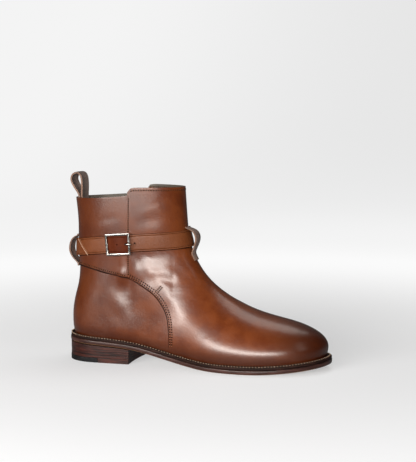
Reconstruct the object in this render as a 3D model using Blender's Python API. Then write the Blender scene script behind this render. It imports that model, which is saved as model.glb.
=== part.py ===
"""Jodhpur boot for the right foot: a calf ankle boot with a wrap strap, on a welted leather sole.

Metres. +X runs to the toe, +Y to the inner (medial) side of the foot, +Z up. While the pieces are
made, x = 0 is the back edge of the outsole and z = 0 the floor. The empty at the end moves the whole
boot so that its origin is the middle of its box, on the floor.

The upper is drawn on a grid of rings and columns. A ring runs round the boot, from the feather edge
(ring 0, where the upper meets the welt) to the collar (ring 1). A column is given by a turn: 0 at the
back seam, half a turn at the front centre line, first along the outer side, then along the inner one.
"""

import math

import bmesh
import bpy
import numpy as np

# Sole and heel
SOLE_LENGTH = 0.303
BALL_WIDTH = 0.1035
WAIST_WIDTH = 0.066
HEEL_WIDTH = 0.070
OUTSOLE_THICKNESS = 0.0055
WELT_THICKNESS = 0.0032
WELT_MARGIN_FRONT = 0.0050
WELT_MARGIN_HEEL = 0.0028
TOE_SPRING = 0.007
SEAT_HEIGHT_BREAST = 0.0165
HEEL_LENGTH = 0.080
TOP_PIECE_THICKNESS = 0.0055
RUBBER_LENGTH = 0.043
LIFT_COUNT = 3
BREAST_HOLLOW = 0.0018
EDGE_ROUND = 0.0008

# Upper
SHAFT_HEIGHT_FRONT = 0.1985
SHAFT_HEIGHT_BACK = 0.185
SHAFT_HEIGHT_SIDE = 0.1895
SHAFT_WIDTH = 0.068
ANKLE_WIDTH = 0.064
LINING_WALL = 0.0016
LEATHER = 0.0009
SIDE_OVERLAP = 0.0005
INSOLE_THICKNESS = 0.0055

# Strap, keepers, loop and buckle
STRAP_WIDTH = 0.019
STRAP_THICKNESS = 0.002
STRAP_STAND = 0.0009
STRAP_STEP = 0.0050
BUCKLE_PLACE = 0.0705
BUCKLE_LENGTH = 0.0272
BUCKLE_HEIGHT = 0.0242
BUCKLE_WIRE = 0.0023
BUCKLE_STAND = 0.0059
BAR_STAND = 0.0026
BUCKLE_CORNER = 0.0014
FREE_END_ALONG = 0.0275
FREE_END_SLANT = 0.0125
KEEPER_WIDTH = 0.013
KEEPER_THICKNESS = 0.0019
LOOP_WIDTH = 0.0195
LOOP_HEIGHT = 0.0275
LOOP_THICKNESS = 0.0021
LOOP_TAIL = 0.015

# Fits
GAP = 0.0003

# Grid of the upper: rings to the seam's corner, rings above it, columns behind and before the seam
RINGS_BELOW = 14
RINGS_ABOVE = 10
COLUMNS_BEHIND = 10
COLUMNS_BEFORE = 16


def cubic(knots, values, at):
    """A smooth curve through a table: the natural cubic spline."""
    knots, values = np.asarray(knots, float), np.asarray(values, float)
    at = np.asarray(at, float)
    steps = np.diff(knots)
    slopes = np.diff(values) / steps
    count = len(knots)
    matrix, right = np.eye(count), np.zeros(count)
    for i in range(1, count - 1):
        matrix[i, i - 1 : i + 2] = steps[i - 1], 2 * (steps[i - 1] + steps[i]), steps[i]
        right[i] = 6 * (slopes[i] - slopes[i - 1])
    bends = np.linalg.solve(matrix, right)
    i = np.clip(np.searchsorted(knots, at) - 1, 0, count - 2)
    h, a, b = steps[i], knots[i + 1] - at, at - knots[i]
    return (
        bends[i] * a**3 / (6 * h)
        + bends[i + 1] * b**3 / (6 * h)
        + (values[i] / h - bends[i] * h / 6) * a
        + (values[i + 1] / h - bends[i + 1] * h / 6) * b
    )


def smooth_step(value, low, high):
    """0 below low, 1 above high, with a soft change between."""
    t = np.clip((value - low) / (high - low), 0, 1)
    return t * t * (3 - 2 * t)


def rounded(share, power):
    """1 at share 0, falling like a superellipse's quarter to 0 at share 1."""
    return np.clip(1 - np.clip(share, 0, 1) ** power, 0, 1) ** (1 / power)


# The sole's outline in plan. Shares: along of SOLE_LENGTH, outer and inner of BALL_WIDTH, WAIST_WIDTH
# or HEEL_WIDTH as the last column says.
PLAN_COLUMNS = ("along", "outer", "inner", "width")
PLAN = (
    (0.00, 0.500, 0.490, HEEL_WIDTH),
    (0.13, 0.500, 0.490, HEEL_WIDTH),
    (0.28, 0.485, 0.450, HEEL_WIDTH),
    (0.42, 0.545, 0.455, WAIST_WIDTH),
    (0.55, 0.455, 0.372, BALL_WIDTH),
    (0.66, 0.515, 0.473, BALL_WIDTH),
    (0.80, 0.510, 0.500, BALL_WIDTH),
    (1.00, 0.500, 0.500, BALL_WIDTH),
)
HEEL_ROUND_SHARE = 0.13
TOE_ROUND_SHARE = 0.70
HEEL_ROUND_POWER = 2.2
TOE_ROUND_POWER = 2.05

# The middle line of the foot leans to the inner side towards the toe.
LEAN_COLUMNS = ("along", "share_of_ball_width")
LEAN = (
    (0.00, 0.000),
    (0.30, 0.000),
    (0.50, 0.010),
    (0.70, 0.022),
    (0.85, 0.036),
    (1.00, 0.058),
)


def table_curve(table, column, share):
    """One column of a table whose first column is the share along."""
    return cubic([row[0] for row in table], [row[column] for row in table], share)


def plan_width(share, side):
    """Half width of the sole to one side, before its ends are rounded. side is -1 outer, +1 inner."""
    column = 1 if side < 0 else 2
    widths = [row[column] * row[3] for row in PLAN]
    return cubic([row[0] for row in PLAN], widths, share)


def middle_line(share):
    return table_curve(LEAN, 1, share) * BALL_WIDTH


def end_rounding(share):
    heel = rounded((HEEL_ROUND_SHARE - share) / HEEL_ROUND_SHARE, HEEL_ROUND_POWER)
    toe = rounded((share - TOE_ROUND_SHARE) / (1 - TOE_ROUND_SHARE), TOE_ROUND_POWER)
    return heel * toe


def plan_edge(share, side, margin=0.0):
    """y of the sole's edge at a share of the length, drawn in by a margin on the side."""
    middle = middle_line(share)
    reach = plan_width(share, side) - side * middle - margin
    return middle + side * reach * end_rounding(share)


# Height of the outsole's underside behind the ball, which is flat on the floor. Shares: along of
# SOLE_LENGTH, high of SEAT_HEIGHT_BREAST.
ARCH_COLUMNS = ("along", "high")
ARCH = (
    (0.00, 1.303),
    (0.10, 1.205),
    (0.20, 1.100),
    (0.264, 1.000),
    (0.32, 0.800),
    (0.38, 0.545),
    (0.44, 0.320),
    (0.50, 0.150),
    (0.56, 0.035),
    (0.60, 0.000),
    (0.70, 0.000),
)
BALL_START = 0.60
BALL_END = 0.72
SPRING_POWER = 1.8


def steady(knots, values, at):
    """A smooth curve through a table that never swings past its values."""
    knots, values = np.asarray(knots, float), np.asarray(values, float)
    steps = np.diff(knots)
    slopes = np.diff(values) / steps
    bends = np.zeros(len(knots))
    bends[0], bends[-1] = slopes[0], slopes[-1]
    for i in range(1, len(knots) - 1):
        if slopes[i - 1] * slopes[i] > 0:
            bends[i] = 2 / (1 / slopes[i - 1] + 1 / slopes[i])
    at = np.clip(np.asarray(at, float), knots[0], knots[-1])
    i = np.clip(np.searchsorted(knots, at) - 1, 0, len(knots) - 2)
    t = (at - knots[i]) / steps[i]
    first = (1 + 2 * t) * (1 - t) ** 2 * values[i] + t * t * (3 - 2 * t) * values[i + 1]
    return first + steps[i] * (t * (1 - t) ** 2 * bends[i] + t * t * (t - 1) * bends[i + 1])


def underside(x):
    """Height of the outsole's underside over the floor."""
    share = np.asarray(x, float) / SOLE_LENGTH
    arch = steady([row[0] for row in ARCH], [row[1] for row in ARCH], share)
    spring = np.clip((share - BALL_END) / (1 - BALL_END), 0, None) ** SPRING_POWER
    return SEAT_HEIGHT_BREAST * arch + TOE_SPRING * spring


def welt_top(x):
    return underside(x) + OUTSOLE_THICKNESS + WELT_THICKNESS


def welt_margin(share):
    return WELT_MARGIN_HEEL + (WELT_MARGIN_FRONT - WELT_MARGIN_HEEL) * smooth_step(share, 0.2, 0.5)


# The rings of the upper in side view. Shares: heights of SHAFT_HEIGHT_FRONT (the back ones of
# SHAFT_HEIGHT_BACK), lengths of SOLE_LENGTH. back is the ring's height at the back seam, seam the point
# where it crosses the vamp's edge, and ridge the point where it crosses the front centre line.
RING_COLUMNS = ("ring", "back_high", "seam_along", "seam_high", "ridge_along", "ridge_high")
RINGS = (
    (0.000, 0.163, 0.4180, 0.1030, 0.9790, 0.0850),
    (0.062, 0.198, 0.4195, 0.1500, 0.9855, 0.1220),
    (0.124, 0.232, 0.4190, 0.1920, 0.9815, 0.1600),
    (0.186, 0.266, 0.4165, 0.2340, 0.9570, 0.1990),
    (0.248, 0.304, 0.4115, 0.2760, 0.9185, 0.2295),
    (0.310, 0.346, 0.4020, 0.3170, 0.8645, 0.2585),
    (0.372, 0.394, 0.3850, 0.3620, 0.7925, 0.2820),
    (0.434, 0.448, 0.3600, 0.4070, 0.7175, 0.3135),
    (0.496, 0.514, 0.3190, 0.4500, 0.6425, 0.3645),
    (0.560, 0.588, 0.2590, 0.4940, 0.5698, 0.4362),
    (0.640, 0.648, 0.2592, 0.5630, 0.5132, 0.5285),
    (0.720, 0.719, 0.2600, 0.6400, 0.4760, 0.6330),
    (0.800, 0.795, 0.2612, 0.7260, 0.4590, 0.7370),
    (0.880, 0.870, 0.2625, 0.8150, 0.4530, 0.8350),
    (0.940, 0.935, 0.2635, 0.8850, 0.4490, 0.9180),
    (1.000, 1.000, 0.2640, 0.9546, 0.4455, 1.0000),
)
CORNER_ROW = 9
CORNER_RING = RINGS[CORNER_ROW][0]

# The back seam's profile. Shares: high of SHAFT_HEIGHT_BACK, along of SOLE_LENGTH.
BACK_COLUMNS = ("high", "along")
BACK = (
    (0.160, 0.0143),
    (0.195, 0.0093),
    (0.240, 0.0073),
    (0.300, 0.0078),
    (0.355, 0.0123),
    (0.410, 0.0203),
    (0.467, 0.0301),
    (0.525, 0.0351),
    (0.590, 0.0371),
    (0.680, 0.0366),
    (0.780, 0.0361),
    (0.860, 0.0361),
    (0.930, 0.0326),
    (1.000, 0.0271),
)


def back_along(high):
    return table_curve(BACK, 1, high / SHAFT_HEIGHT_BACK) * SOLE_LENGTH


def ring_column(column, ring):
    return table_curve(RINGS, column, ring)


def seam_column(column, ring):
    """The vamp's edge turns a corner where the side seam leaves it, so it is two curves."""
    lower = RINGS[: CORNER_ROW + 1]
    upper = RINGS[CORNER_ROW:]
    below = table_curve(lower, column, np.minimum(ring, CORNER_RING))
    above = table_curve(upper, column, np.maximum(ring, CORNER_RING))
    return np.where(ring <= CORNER_RING, below, above)


COLLAR_CORNER = 0.0085
COLLAR_JUMP = 0.45
COLLAR_LIFT_POWER = 9
JUST_BEFORE = 1e-4


def collar_lift(along_from_seam):
    """The vamp stands above the back panel at the collar, with a round corner at the side seam."""
    corner = rounded(1 - np.clip(along_from_seam / COLLAR_CORNER, 0, 1), 2.0)
    return COLLAR_JUMP + (1 - COLLAR_JUMP) * corner


def collar_line(t):
    """Height of the back panel's collar, and of its line carried on across the vamp."""
    back_x, ridge_x = back_along(SHAFT_HEIGHT_BACK), RINGS[-1][4] * SOLE_LENGTH
    seam_x, seam_z = RINGS[-1][2] * SOLE_LENGTH, RINGS[-1][3] * SHAFT_HEIGHT_FRONT
    seam_t = (seam_x - back_x) / (ridge_x - back_x)
    line = SHAFT_HEIGHT_BACK + (SHAFT_HEIGHT_FRONT - SHAFT_HEIGHT_BACK) * t
    seam_line = SHAFT_HEIGHT_BACK + (SHAFT_HEIGHT_FRONT - SHAFT_HEIGHT_BACK) * seam_t
    return line + (seam_z - seam_line) * t * (1 - t) / (seam_t * (1 - seam_t))


def side_view(turn, ring, lifted=True):
    """x and z of a point of the upper, from its turn (0 back to pi front) and its ring."""
    back_z = ring_column(1, ring) * SHAFT_HEIGHT_BACK
    back_x = back_along(back_z)
    seam_x = seam_column(2, ring) * SOLE_LENGTH
    seam_z = seam_column(3, ring) * SHAFT_HEIGHT_FRONT
    ridge_x = ring_column(4, ring) * SOLE_LENGTH
    ridge_z = ring_column(5, ring) * SHAFT_HEIGHT_FRONT
    x = back_x + (ridge_x - back_x) * (1 - np.cos(turn)) / 2
    t = (x - back_x) / (ridge_x - back_x)
    seam_t = (seam_x - back_x) / (ridge_x - back_x)
    # A feather ring lies on the welt. Higher rings lose its curve and pass through the seam's point.
    chord = welt_top(back_x) + (welt_top(ridge_x) - welt_top(back_x)) * t
    seam_chord = welt_top(back_x) + (welt_top(ridge_x) - welt_top(back_x)) * seam_t
    keep = np.clip(1 - ring / CORNER_RING, 0, 1) ** 1.5
    sag = (welt_top(x) - chord) * keep
    seam_sag = (welt_top(seam_x) - seam_chord) * keep
    seam_line = back_z + (ridge_z - back_z) * seam_t + seam_sag
    bow = (seam_z - seam_line) * t * (1 - t) / (seam_t * (1 - seam_t))
    z = back_z + (ridge_z - back_z) * t + sag + bow
    on_welt = welt_top(x) + GAP
    z = z + (on_welt - z) * np.clip(1 - ring / RINGS[1][0], 0, 1) ** 2
    if not lifted:
        return x, z
    lift = SHAFT_HEIGHT_FRONT - collar_line(t)
    before = x > seam_x + 1e-9
    z = z + np.where(before, lift * collar_lift(x - seam_x), 0) * ring**COLLAR_LIFT_POWER
    return x, z


def seam_turn(ring):
    """The turn at which a ring crosses the vamp's edge."""
    back_x = back_along(ring_column(1, ring) * SHAFT_HEIGHT_BACK)
    ridge_x = ring_column(4, ring) * SOLE_LENGTH
    seam_x = seam_column(2, ring) * SOLE_LENGTH
    return np.arccos(np.clip(1 - 2 * (seam_x - back_x) / (ridge_x - back_x), -1, 1))


# A section stops just short of its end, and the skin's closing factor draws the last bit together.
NEARLY = 0.9975
CLOSING = 0.2


# Sections over the instep fan out from a line across the boot, in front of the shin. Shares: along of
# SOLE_LENGTH, high of SHAFT_HEIGHT_FRONT. Each section runs from the ridge to the core line, where the
# upper has its full width.
FAN_ALONG = 0.80
FAN_HIGH = 1.20
CORE_COLUMNS = ("along", "high")
CORE = (
    (1.020, 0.075),
    (0.900, 0.060),
    (0.700, 0.045),
    (0.520, 0.075),
    (0.380, 0.120),
    (0.270, 0.220),
    (0.215, 0.380),
    (0.205, 0.560),
    (0.208, 0.760),
    (0.210, 0.900),
    (0.212, 1.100),
)
RIDGE_ABOVE = ((0.4485, 1.060), (0.4470, 1.140))


def fan_angle(x, z):
    return np.arctan2(FAN_ALONG * SOLE_LENGTH - x, FAN_HIGH * SHAFT_HEIGHT_FRONT - z)


def fan_reach(x, z):
    return np.hypot(FAN_ALONG * SOLE_LENGTH - x, FAN_HIGH * SHAFT_HEIGHT_FRONT - z)


def fan_curve(alongs, highs):
    """A curve of the side view as (angles, reaches) about the fan's line, in rising order."""
    x, z = np.asarray(alongs) * SOLE_LENGTH, np.asarray(highs) * SHAFT_HEIGHT_FRONT
    angle, reach = fan_angle(x, z), fan_reach(x, z)
    order = np.argsort(angle)
    return angle[order], reach[order]


def ridge_fan():
    ring = np.linspace(RINGS[2][0], 1, 160)
    alongs = list(ring_column(4, ring)) + [row[0] for row in RIDGE_ABOVE]
    highs = list(ring_column(5, ring)) + [row[1] for row in RIDGE_ABOVE]
    return fan_curve(alongs, highs)


RIDGE_FAN = ridge_fan()
CORE_FAN = fan_curve([row[0] for row in CORE], [row[1] for row in CORE])


def front_share(x, z):
    """0 at the core line, 1 on the front centre line."""
    angle, reach = fan_angle(x, z), fan_reach(x, z)
    ridge = np.interp(angle, *RIDGE_FAN)
    core = cubic(*CORE_FAN, np.clip(angle, CORE_FAN[0][0], CORE_FAN[0][-1]))
    return np.clip((core - reach) / (core - ridge), 0, NEARLY)


ANKLE_COLUMNS = ("high", "share_of_ankle", "share_of_shaft")
ANKLE = (
    (0.20, 1.05, 0.00),
    (0.38, 1.02, 0.00),
    (0.56, 1.00, 0.00),
    (0.75, 0.35, 0.66),
    (1.00, 0.00, 1.00),
    (1.10, 0.00, 1.00),
)
BACK_CORE_LOW = 0.135
BACK_CORE_HIGH = 0.212
SHAFT_POWER = 2.25
ARCH_OUTER = 1.95
ARCH_INNER = 2.2
TUCK_HEIGHT = 0.016
TUCK_SHARE = 0.055


def half_width(x, z, side):
    """Reach of the upper's skin from the middle line to one side, at a point of the side view."""
    high = z / SHAFT_HEIGHT_FRONT
    toe_x = np.max(ring_column(4, np.linspace(0, 0.3, 60))) * SOLE_LENGTH
    low_ring = np.clip((z / SHAFT_HEIGHT_FRONT - RINGS[0][5]) / (RINGS[2][5] - RINGS[0][5]), 0, 1)
    tip_x = np.minimum(toe_x, ring_column(4, low_ring * RINGS[2][0]) * SOLE_LENGTH)
    tip_x = np.where(low_ring < 1, tip_x, toe_x)
    share = np.clip(x / tip_x, 0, 1)
    foot = plan_width(share, side) - welt_margin(share) - side * middle_line(share)
    ankle = table_curve(ANKLE, 1, high) * ANKLE_WIDTH / 2 + table_curve(ANKLE, 2, high) * SHAFT_WIDTH / 2
    shaft = smooth_step(high, 0.22, 0.55)
    full = foot + (ankle - foot) * shaft
    core = (BACK_CORE_LOW + (BACK_CORE_HIGH - BACK_CORE_LOW) * shaft) * SOLE_LENGTH
    back_x = back_along(z)
    back = rounded(np.minimum((core - x) / (core - back_x), NEARLY), SHAFT_POWER)
    toe_share = np.minimum((share - TOE_ROUND_SHARE) / (1 - TOE_ROUND_SHARE), NEARLY)
    toe = rounded(toe_share, TOE_ROUND_POWER)
    front = front_share(x, z)
    arch = ARCH_OUTER if side < 0 else ARCH_INNER
    power = arch + (SHAFT_POWER - arch) * shaft
    top = np.clip(1 - front**power, 0, 1) ** 0.5
    rise = np.clip((z - welt_top(x)) / TUCK_HEIGHT, 0, 1)
    tuck = 1 - TUCK_SHARE * (1 - rise) ** 2
    return full * back * toe * top * tuck


def skin(turn, ring, lifted=True):
    """A point of the upper's surface, before any panel's thickness is added."""
    turn, ring = np.broadcast_arrays(np.asarray(turn, float), np.asarray(ring, float))
    side = np.where(turn <= math.pi, -1.0, 1.0)
    half = np.where(turn <= math.pi, turn, 2 * math.pi - turn)
    x, z = side_view(half, ring, lifted)
    middle = middle_line(np.clip(x / SOLE_LENGTH, 0, 1))
    outer, inner = half_width(x, z, -1), half_width(x, z, 1)
    closing = 1 - (1 - np.clip(np.sin(half) / CLOSING, 0, 1)) ** 2
    y = middle + np.where(side < 0, -outer, inner) * closing
    return np.stack([x, y, z], -1)


TURN_STEP = 0.02
RING_STEP = 0.004


def skin_normal(turn, ring):
    """Outward normal of the surface. At the feather edge and the collar it is level."""
    turn, ring = np.broadcast_arrays(np.asarray(turn, float), np.asarray(ring, float))
    whole = 2 * math.pi
    ahead, behind = (turn + TURN_STEP) % whole, (turn - TURN_STEP) % whole
    along = skin(ahead, ring, False) - skin(behind, ring, False)
    low, high = np.clip(ring - RING_STEP, 0, 1), np.clip(ring + RING_STEP, 0, 1)
    up = skin(turn % whole, high, False) - skin(turn % whole, low, False)
    level = (ring < RING_STEP) | (ring > 1 - RING_STEP)
    up[level] = (0.0, 0.0, 1.0)
    normal = np.cross(along, up)
    return normal / np.linalg.norm(normal, axis=-1, keepdims=True)


def raised_skin(turn, ring, height):
    height = np.asarray(height, float)
    return skin(turn, ring) + skin_normal(turn, ring) * height[..., None]


def ring_at_height(turn, height):
    """The ring whose point at this turn has this height, found by halving."""
    turn, height = np.broadcast_arrays(np.asarray(turn, float), np.asarray(height, float))
    low, high = np.zeros(turn.shape), np.ones(turn.shape)
    for _ in range(40):
        middle = (low + high) / 2
        below = skin(turn, middle)[..., 2] < height
        low, high = np.where(below, middle, low), np.where(below, high, middle)
    return (low + high) / 2


def new_object(name, mesh_data, colour, roughness, metallic=0.0):
    """A named object with its own material."""
    made = bpy.data.objects.new(name, mesh_data)
    bpy.context.scene.collection.objects.link(made)
    material = bpy.data.materials.new(name)
    material.use_nodes = True
    surface = material.node_tree.nodes["Principled BSDF"]
    surface.inputs["Base Color"].default_value = (*colour, 1)
    surface.inputs["Roughness"].default_value = roughness
    surface.inputs["Metallic"].default_value = metallic
    made.data.materials.append(material)
    return made


def mesh_from(name, points, faces):
    """A closed mesh with its faces turned outwards and its soft edges shaded smooth."""
    mesh = bpy.data.meshes.new(name)
    mesh.from_pydata([tuple(map(float, p)) for p in points], [], faces)
    work = bmesh.new()
    work.from_mesh(mesh)
    bmesh.ops.remove_doubles(work, verts=work.verts, dist=1e-6)
    bmesh.ops.recalc_face_normals(work, faces=work.faces)
    work.to_mesh(mesh)
    work.free()
    mesh.shade_smooth()
    mesh.set_sharp_from_angle(angle=math.radians(40))
    return mesh


def tube_faces(rows, columns, closed_rows):
    """Quads between neighbouring loops of equal length."""
    faces = []
    for i in range(rows if closed_rows else rows - 1):
        for j in range(columns):
            a, b = i * columns + j, i * columns + (j + 1) % columns
            c, d = ((i + 1) % rows) * columns + (j + 1) % columns, ((i + 1) % rows) * columns + j
            faces.append((a, b, c, d))
    return faces


def ring_solid(name, loops):
    """Loops of points joined into a closed ring, as a belt or a band round the boot."""
    points = [p for loop in loops for p in loop]
    return mesh_from(name, points, tube_faces(len(loops), len(loops[0]), True))


def capped_solid(name, loops):
    """Loops of points joined in order, with the first and the last filled."""
    columns = len(loops[0])
    faces = tube_faces(len(loops), columns, False)
    faces.append(tuple(range(columns))[::-1])
    last = (len(loops) - 1) * columns
    faces.append(tuple(range(last, last + columns)))
    points = [p for loop in loops for p in loop]
    return mesh_from(name, points, faces)


BROWN = (0.235, 0.085, 0.038)
DARK_BROWN = (0.060, 0.022, 0.014)
SOLE_BROWN = (0.085, 0.028, 0.018)
LINING = (0.11, 0.085, 0.065)
BLACK = (0.018, 0.018, 0.019)
STEEL = (0.62, 0.60, 0.56)


def grid_turns(ring):
    """Turns of the columns of one ring, from the back seam round to it again. Two lie on the seams."""
    seam = float(seam_turn(ring))
    behind = [seam * i / COLUMNS_BEHIND for i in range(COLUMNS_BEHIND)]
    before = [
        seam + (math.pi - seam) * (i / COLUMNS_BEFORE) ** 1.15 for i in range(COLUMNS_BEFORE)
    ]
    outer = behind + before
    inner = [2 * math.pi - turn for turn in outer[1:]][::-1]
    return np.array(outer + [math.pi] + inner)


SEAM_OUTER = COLUMNS_BEHIND
SEAM_INNER = COLUMNS_BEHIND + 2 * COLUMNS_BEFORE
COLUMN_COUNT = 2 * (COLUMNS_BEHIND + COLUMNS_BEFORE)
RING_COUNT = RINGS_BELOW + RINGS_ABOVE + 1


def ring_values():
    below = CORNER_RING * (np.arange(RINGS_BELOW) / RINGS_BELOW) ** 1.0
    above = CORNER_RING + (1 - CORNER_RING) * np.arange(RINGS_ABOVE + 1) / RINGS_ABOVE
    return np.concatenate([below, above])


def panel_of(row, column):
    """The panel of a cell of the grid: counter, back or vamp."""
    if SEAM_OUTER <= column < SEAM_INNER:
        return "vamp"
    return "counter" if row < RINGS_BELOW else "back"


def panel_height(panel, row, column, rings):
    """How far a panel's face stands over the lining's form."""
    if panel == "counter":
        return 0.0
    if panel == "back":
        return LEATHER
    above = smooth_step(rings[row], CORNER_RING, CORNER_RING + 0.08)
    away = min(abs(column - SEAM_OUTER), abs(column - SEAM_INNER)) / (COLUMNS_BEFORE * 0.6)
    return LEATHER + SIDE_OVERLAP * above * (1 - smooth_step(away, 0, 1))


def make_upper():
    """Vamp, back panel and counter as one hollow wall. The panels' edges are steps in its outer face."""
    rings = ring_values()
    turns = np.array([grid_turns(ring) for ring in rings])
    base = skin(turns, rings[:, None])
    normal = skin_normal(turns, rings[:, None])
    edge = {
        SEAM_OUTER: skin(turns[:, SEAM_OUTER] + JUST_BEFORE, rings),
        SEAM_INNER: skin(turns[:, SEAM_INNER] - JUST_BEFORE, rings),
    }
    points, index, faces = [], {}, []

    def vertex(panel, row, column):
        column %= COLUMN_COUNT
        height = -LINING_WALL if panel == "lining" else panel_height(panel, row, column, rings)
        own = panel == "vamp" and column in edge and row > RINGS_BELOW
        key = (own, round(height, 6), row, column)
        if key not in index:
            index[key] = len(points)
            start = edge[column][row] if own else base[row, column]
            points.append(start + normal[row, column] * height)
        return index[key]

    def add(corners):
        corners = [c for i, c in enumerate(corners) if c != corners[i - 1]]
        if len(corners) > 2:
            faces.append(corners)

    last = RING_COUNT - 1
    for row in range(last):
        for column in range(COLUMN_COUNT):
            panel = panel_of(row, column)
            cell = [(row, column), (row, column + 1), (row + 1, column + 1), (row + 1, column)]
            add([vertex(panel, *c) for c in cell])
            add([vertex("lining", *c) for c in cell[::-1]])
    for column in (SEAM_OUTER, SEAM_INNER):
        behind = column - 1 if column == SEAM_OUTER else column
        for row in range(last):
            low = panel_of(row, behind)
            step = [(low, row), (low, row + 1), ("vamp", row + 1), ("vamp", row)]
            add([vertex(panel, r, column) for panel, r in step])
    for column in list(range(SEAM_OUTER)) + list(range(SEAM_INNER, COLUMN_COUNT)):
        step = [("counter", column), ("counter", column + 1), ("back", column + 1), ("back", column)]
        add([vertex(panel, RINGS_BELOW, c) for panel, c in step])
    for row in (0, last):
        for column in range(COLUMN_COUNT):
            panel = panel_of(min(row, last - 1), column)
            rim = [vertex("lining", row, column), vertex("lining", row, column + 1)]
            rim += [vertex(panel, row, column + 1), vertex(panel, row, column)]
            low = "counter" if row == 0 else "back"
            if column == SEAM_OUTER:
                rim.append(vertex(low, row, column))
            if column + 1 == SEAM_INNER:
                rim.insert(2, vertex(low, row, SEAM_INNER))
            add(rim)
    return new_object("upper", mesh_from("upper", points, faces), BROWN, 0.35)


def outline(level, margin, count=40, length=None, start=0.0):
    """A closed loop in plan round the sole, at heights given by level(x)."""
    length = SOLE_LENGTH if length is None else length
    turn = np.linspace(0, math.pi, count)
    share = start + (length / SOLE_LENGTH - start) * (1 - np.cos(turn)) / 2
    outer = [(s * SOLE_LENGTH, plan_edge(s, -1)) for s in share]
    inner = [(s * SOLE_LENGTH, plan_edge(s, 1)) for s in share[1:-1]]
    loop = np.array(outer + inner[::-1])
    if margin:
        loop = drawn_in(loop, margin)
    return [(x, y, float(level(x))) for x, y in loop]


def drawn_in(loop, margin):
    """A closed loop moved inwards by a margin, which may differ from point to point."""
    ahead, behind = np.roll(loop, -1, 0), np.roll(loop, 1, 0)
    along = ahead - behind
    along /= np.linalg.norm(along, axis=1, keepdims=True)
    inward = np.stack([-along[:, 1], along[:, 0]], 1)
    share = np.clip(loop[:, 0] / SOLE_LENGTH, 0, 1)
    depth = margin(share) if callable(margin) else np.full(len(loop), margin)
    return loop + inward * depth[:, None]


def make_outsole():
    low, high = underside, lambda x: underside(x) + OUTSOLE_THICKNESS
    loops = [
        outline(low, EDGE_ROUND),
        outline(lambda x: low(x) + EDGE_ROUND, 0),
        outline(lambda x: high(x) - GAP, 0),
    ]
    mesh = plate("outsole", loops)
    return new_object("outsole", mesh, SOLE_BROWN, 0.35)


def plate(name, loops):
    """A curved plate: loops joined, and its two faces filled by strips across the foot."""
    count = len(loops[0])
    half = count // 2
    faces = tube_faces(len(loops), count, False)
    for base, flip in ((0, True), ((len(loops) - 1) * count, False)):
        for i in range(half):
            a, b = base + i, base + i + 1
            c, d = base + (count - i - 1) % count, base + (count - i) % count
            face = [a, b, c, d] if i else [a, b, c]
            face = [v for k, v in enumerate(face) if v != face[k - 1]]
            faces.append(tuple(face[::-1] if flip else face))
    points = [p for loop in loops for p in loop]
    return mesh_from(name, points, faces)


def make_welt():
    """A strip all round, from the sole's edge in to the upper's inner face."""
    turns = grid_turns(0.0)
    inner = raised_skin(turns, 0.0 * turns, -LINING_WALL - GAP + 0 * turns)[:, :2]
    outer = [nearest_edge(p) for p in skin(turns, 0.0 * turns)[:, :2]]
    low = lambda x: float(underside(x) + OUTSOLE_THICKNESS)
    high = lambda x: float(welt_top(x))
    loops = [
        [(x, y, low(x)) for x, y in inner],
        [(x, y, low(x)) for x, y in outer],
        [(x, y, high(x)) for x, y in outer],
        [(x, y, high(x)) for x, y in inner],
    ]
    return new_object("welt", ring_solid("welt", loops), DARK_BROWN, 0.5)


def sole_edge(count=900):
    turn = np.linspace(0, math.pi, count)
    share = (1 - np.cos(turn)) / 2
    outer = np.stack([share * SOLE_LENGTH, plan_edge(share, -1)], 1)
    inner = np.stack([share * SOLE_LENGTH, plan_edge(share, 1)], 1)
    return np.concatenate([outer, inner[::-1]])


SOLE_EDGE = sole_edge()


def nearest_edge(point):
    return SOLE_EDGE[np.argmin(np.hypot(*(SOLE_EDGE - point).T))]


def make_insole():
    """The footbed: it fills the upper from the outsole's top to above the feather edge."""
    turns = grid_turns(0.0)
    inner = raised_skin(turns, 0.0 * turns, -LINING_WALL - 3 * GAP + 0 * turns)[:, :2]
    upper = raised_skin(turns, 0.0 * turns, -LINING_WALL - 6 * GAP + 0 * turns)[:, :2]
    low = lambda x: float(underside(x) + OUTSOLE_THICKNESS) + GAP
    loops = [
        [(x, y, low(x)) for x, y in inner],
        [(x, y, low(x) + INSOLE_THICKNESS) for x, y in upper],
    ]
    return new_object("insole", plate("insole", loops), LINING, 0.7)


def heel_loop(level, start, end, margin, hollow, count=13):
    """A closed loop round a slice of the heel, from start to end, with a hollow front edge."""
    turn = np.linspace(0 if start == 0 else math.acos(1 - start / end), math.pi / 2, count)
    x = end * (1 - np.cos(turn))
    outer = np.stack([x, plan_edge(x / SOLE_LENGTH, -1)], 1)
    inner = np.stack([x, plan_edge(x / SOLE_LENGTH, 1)], 1)
    outer[:, 1] += margin
    inner[:, 1] -= margin
    if start == 0:
        outer[:, 0] += margin * (1 - x / end)
        inner[:, 0] += margin * (1 - x / end)
        outer[0, 1] = inner[0, 1] = (outer[0, 1] + inner[0, 1]) / 2
        inner = inner[1:]
    share = np.linspace(0, 1, 7)[1:-1]
    front = outer[-1] + (inner[-1] - outer[-1]) * share[:, None]
    front[:, 0] -= hollow * 4 * share * (1 - share)
    loop = np.concatenate([outer, front, inner[::-1]])
    return [(px, py, float(level(px))) for px, py in loop]


def heel_slice(name, low, high, start, end, colour, roughness, margin=0.0004, hollow=BREAST_HOLLOW):
    loops = [
        heel_loop(lambda x: low(x) + GAP / 2, start, end, margin, hollow),
        heel_loop(lambda x: high(x) - GAP / 2, start, end, margin, hollow),
    ]
    return new_object(name, capped_solid(name, loops), colour, roughness)


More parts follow.
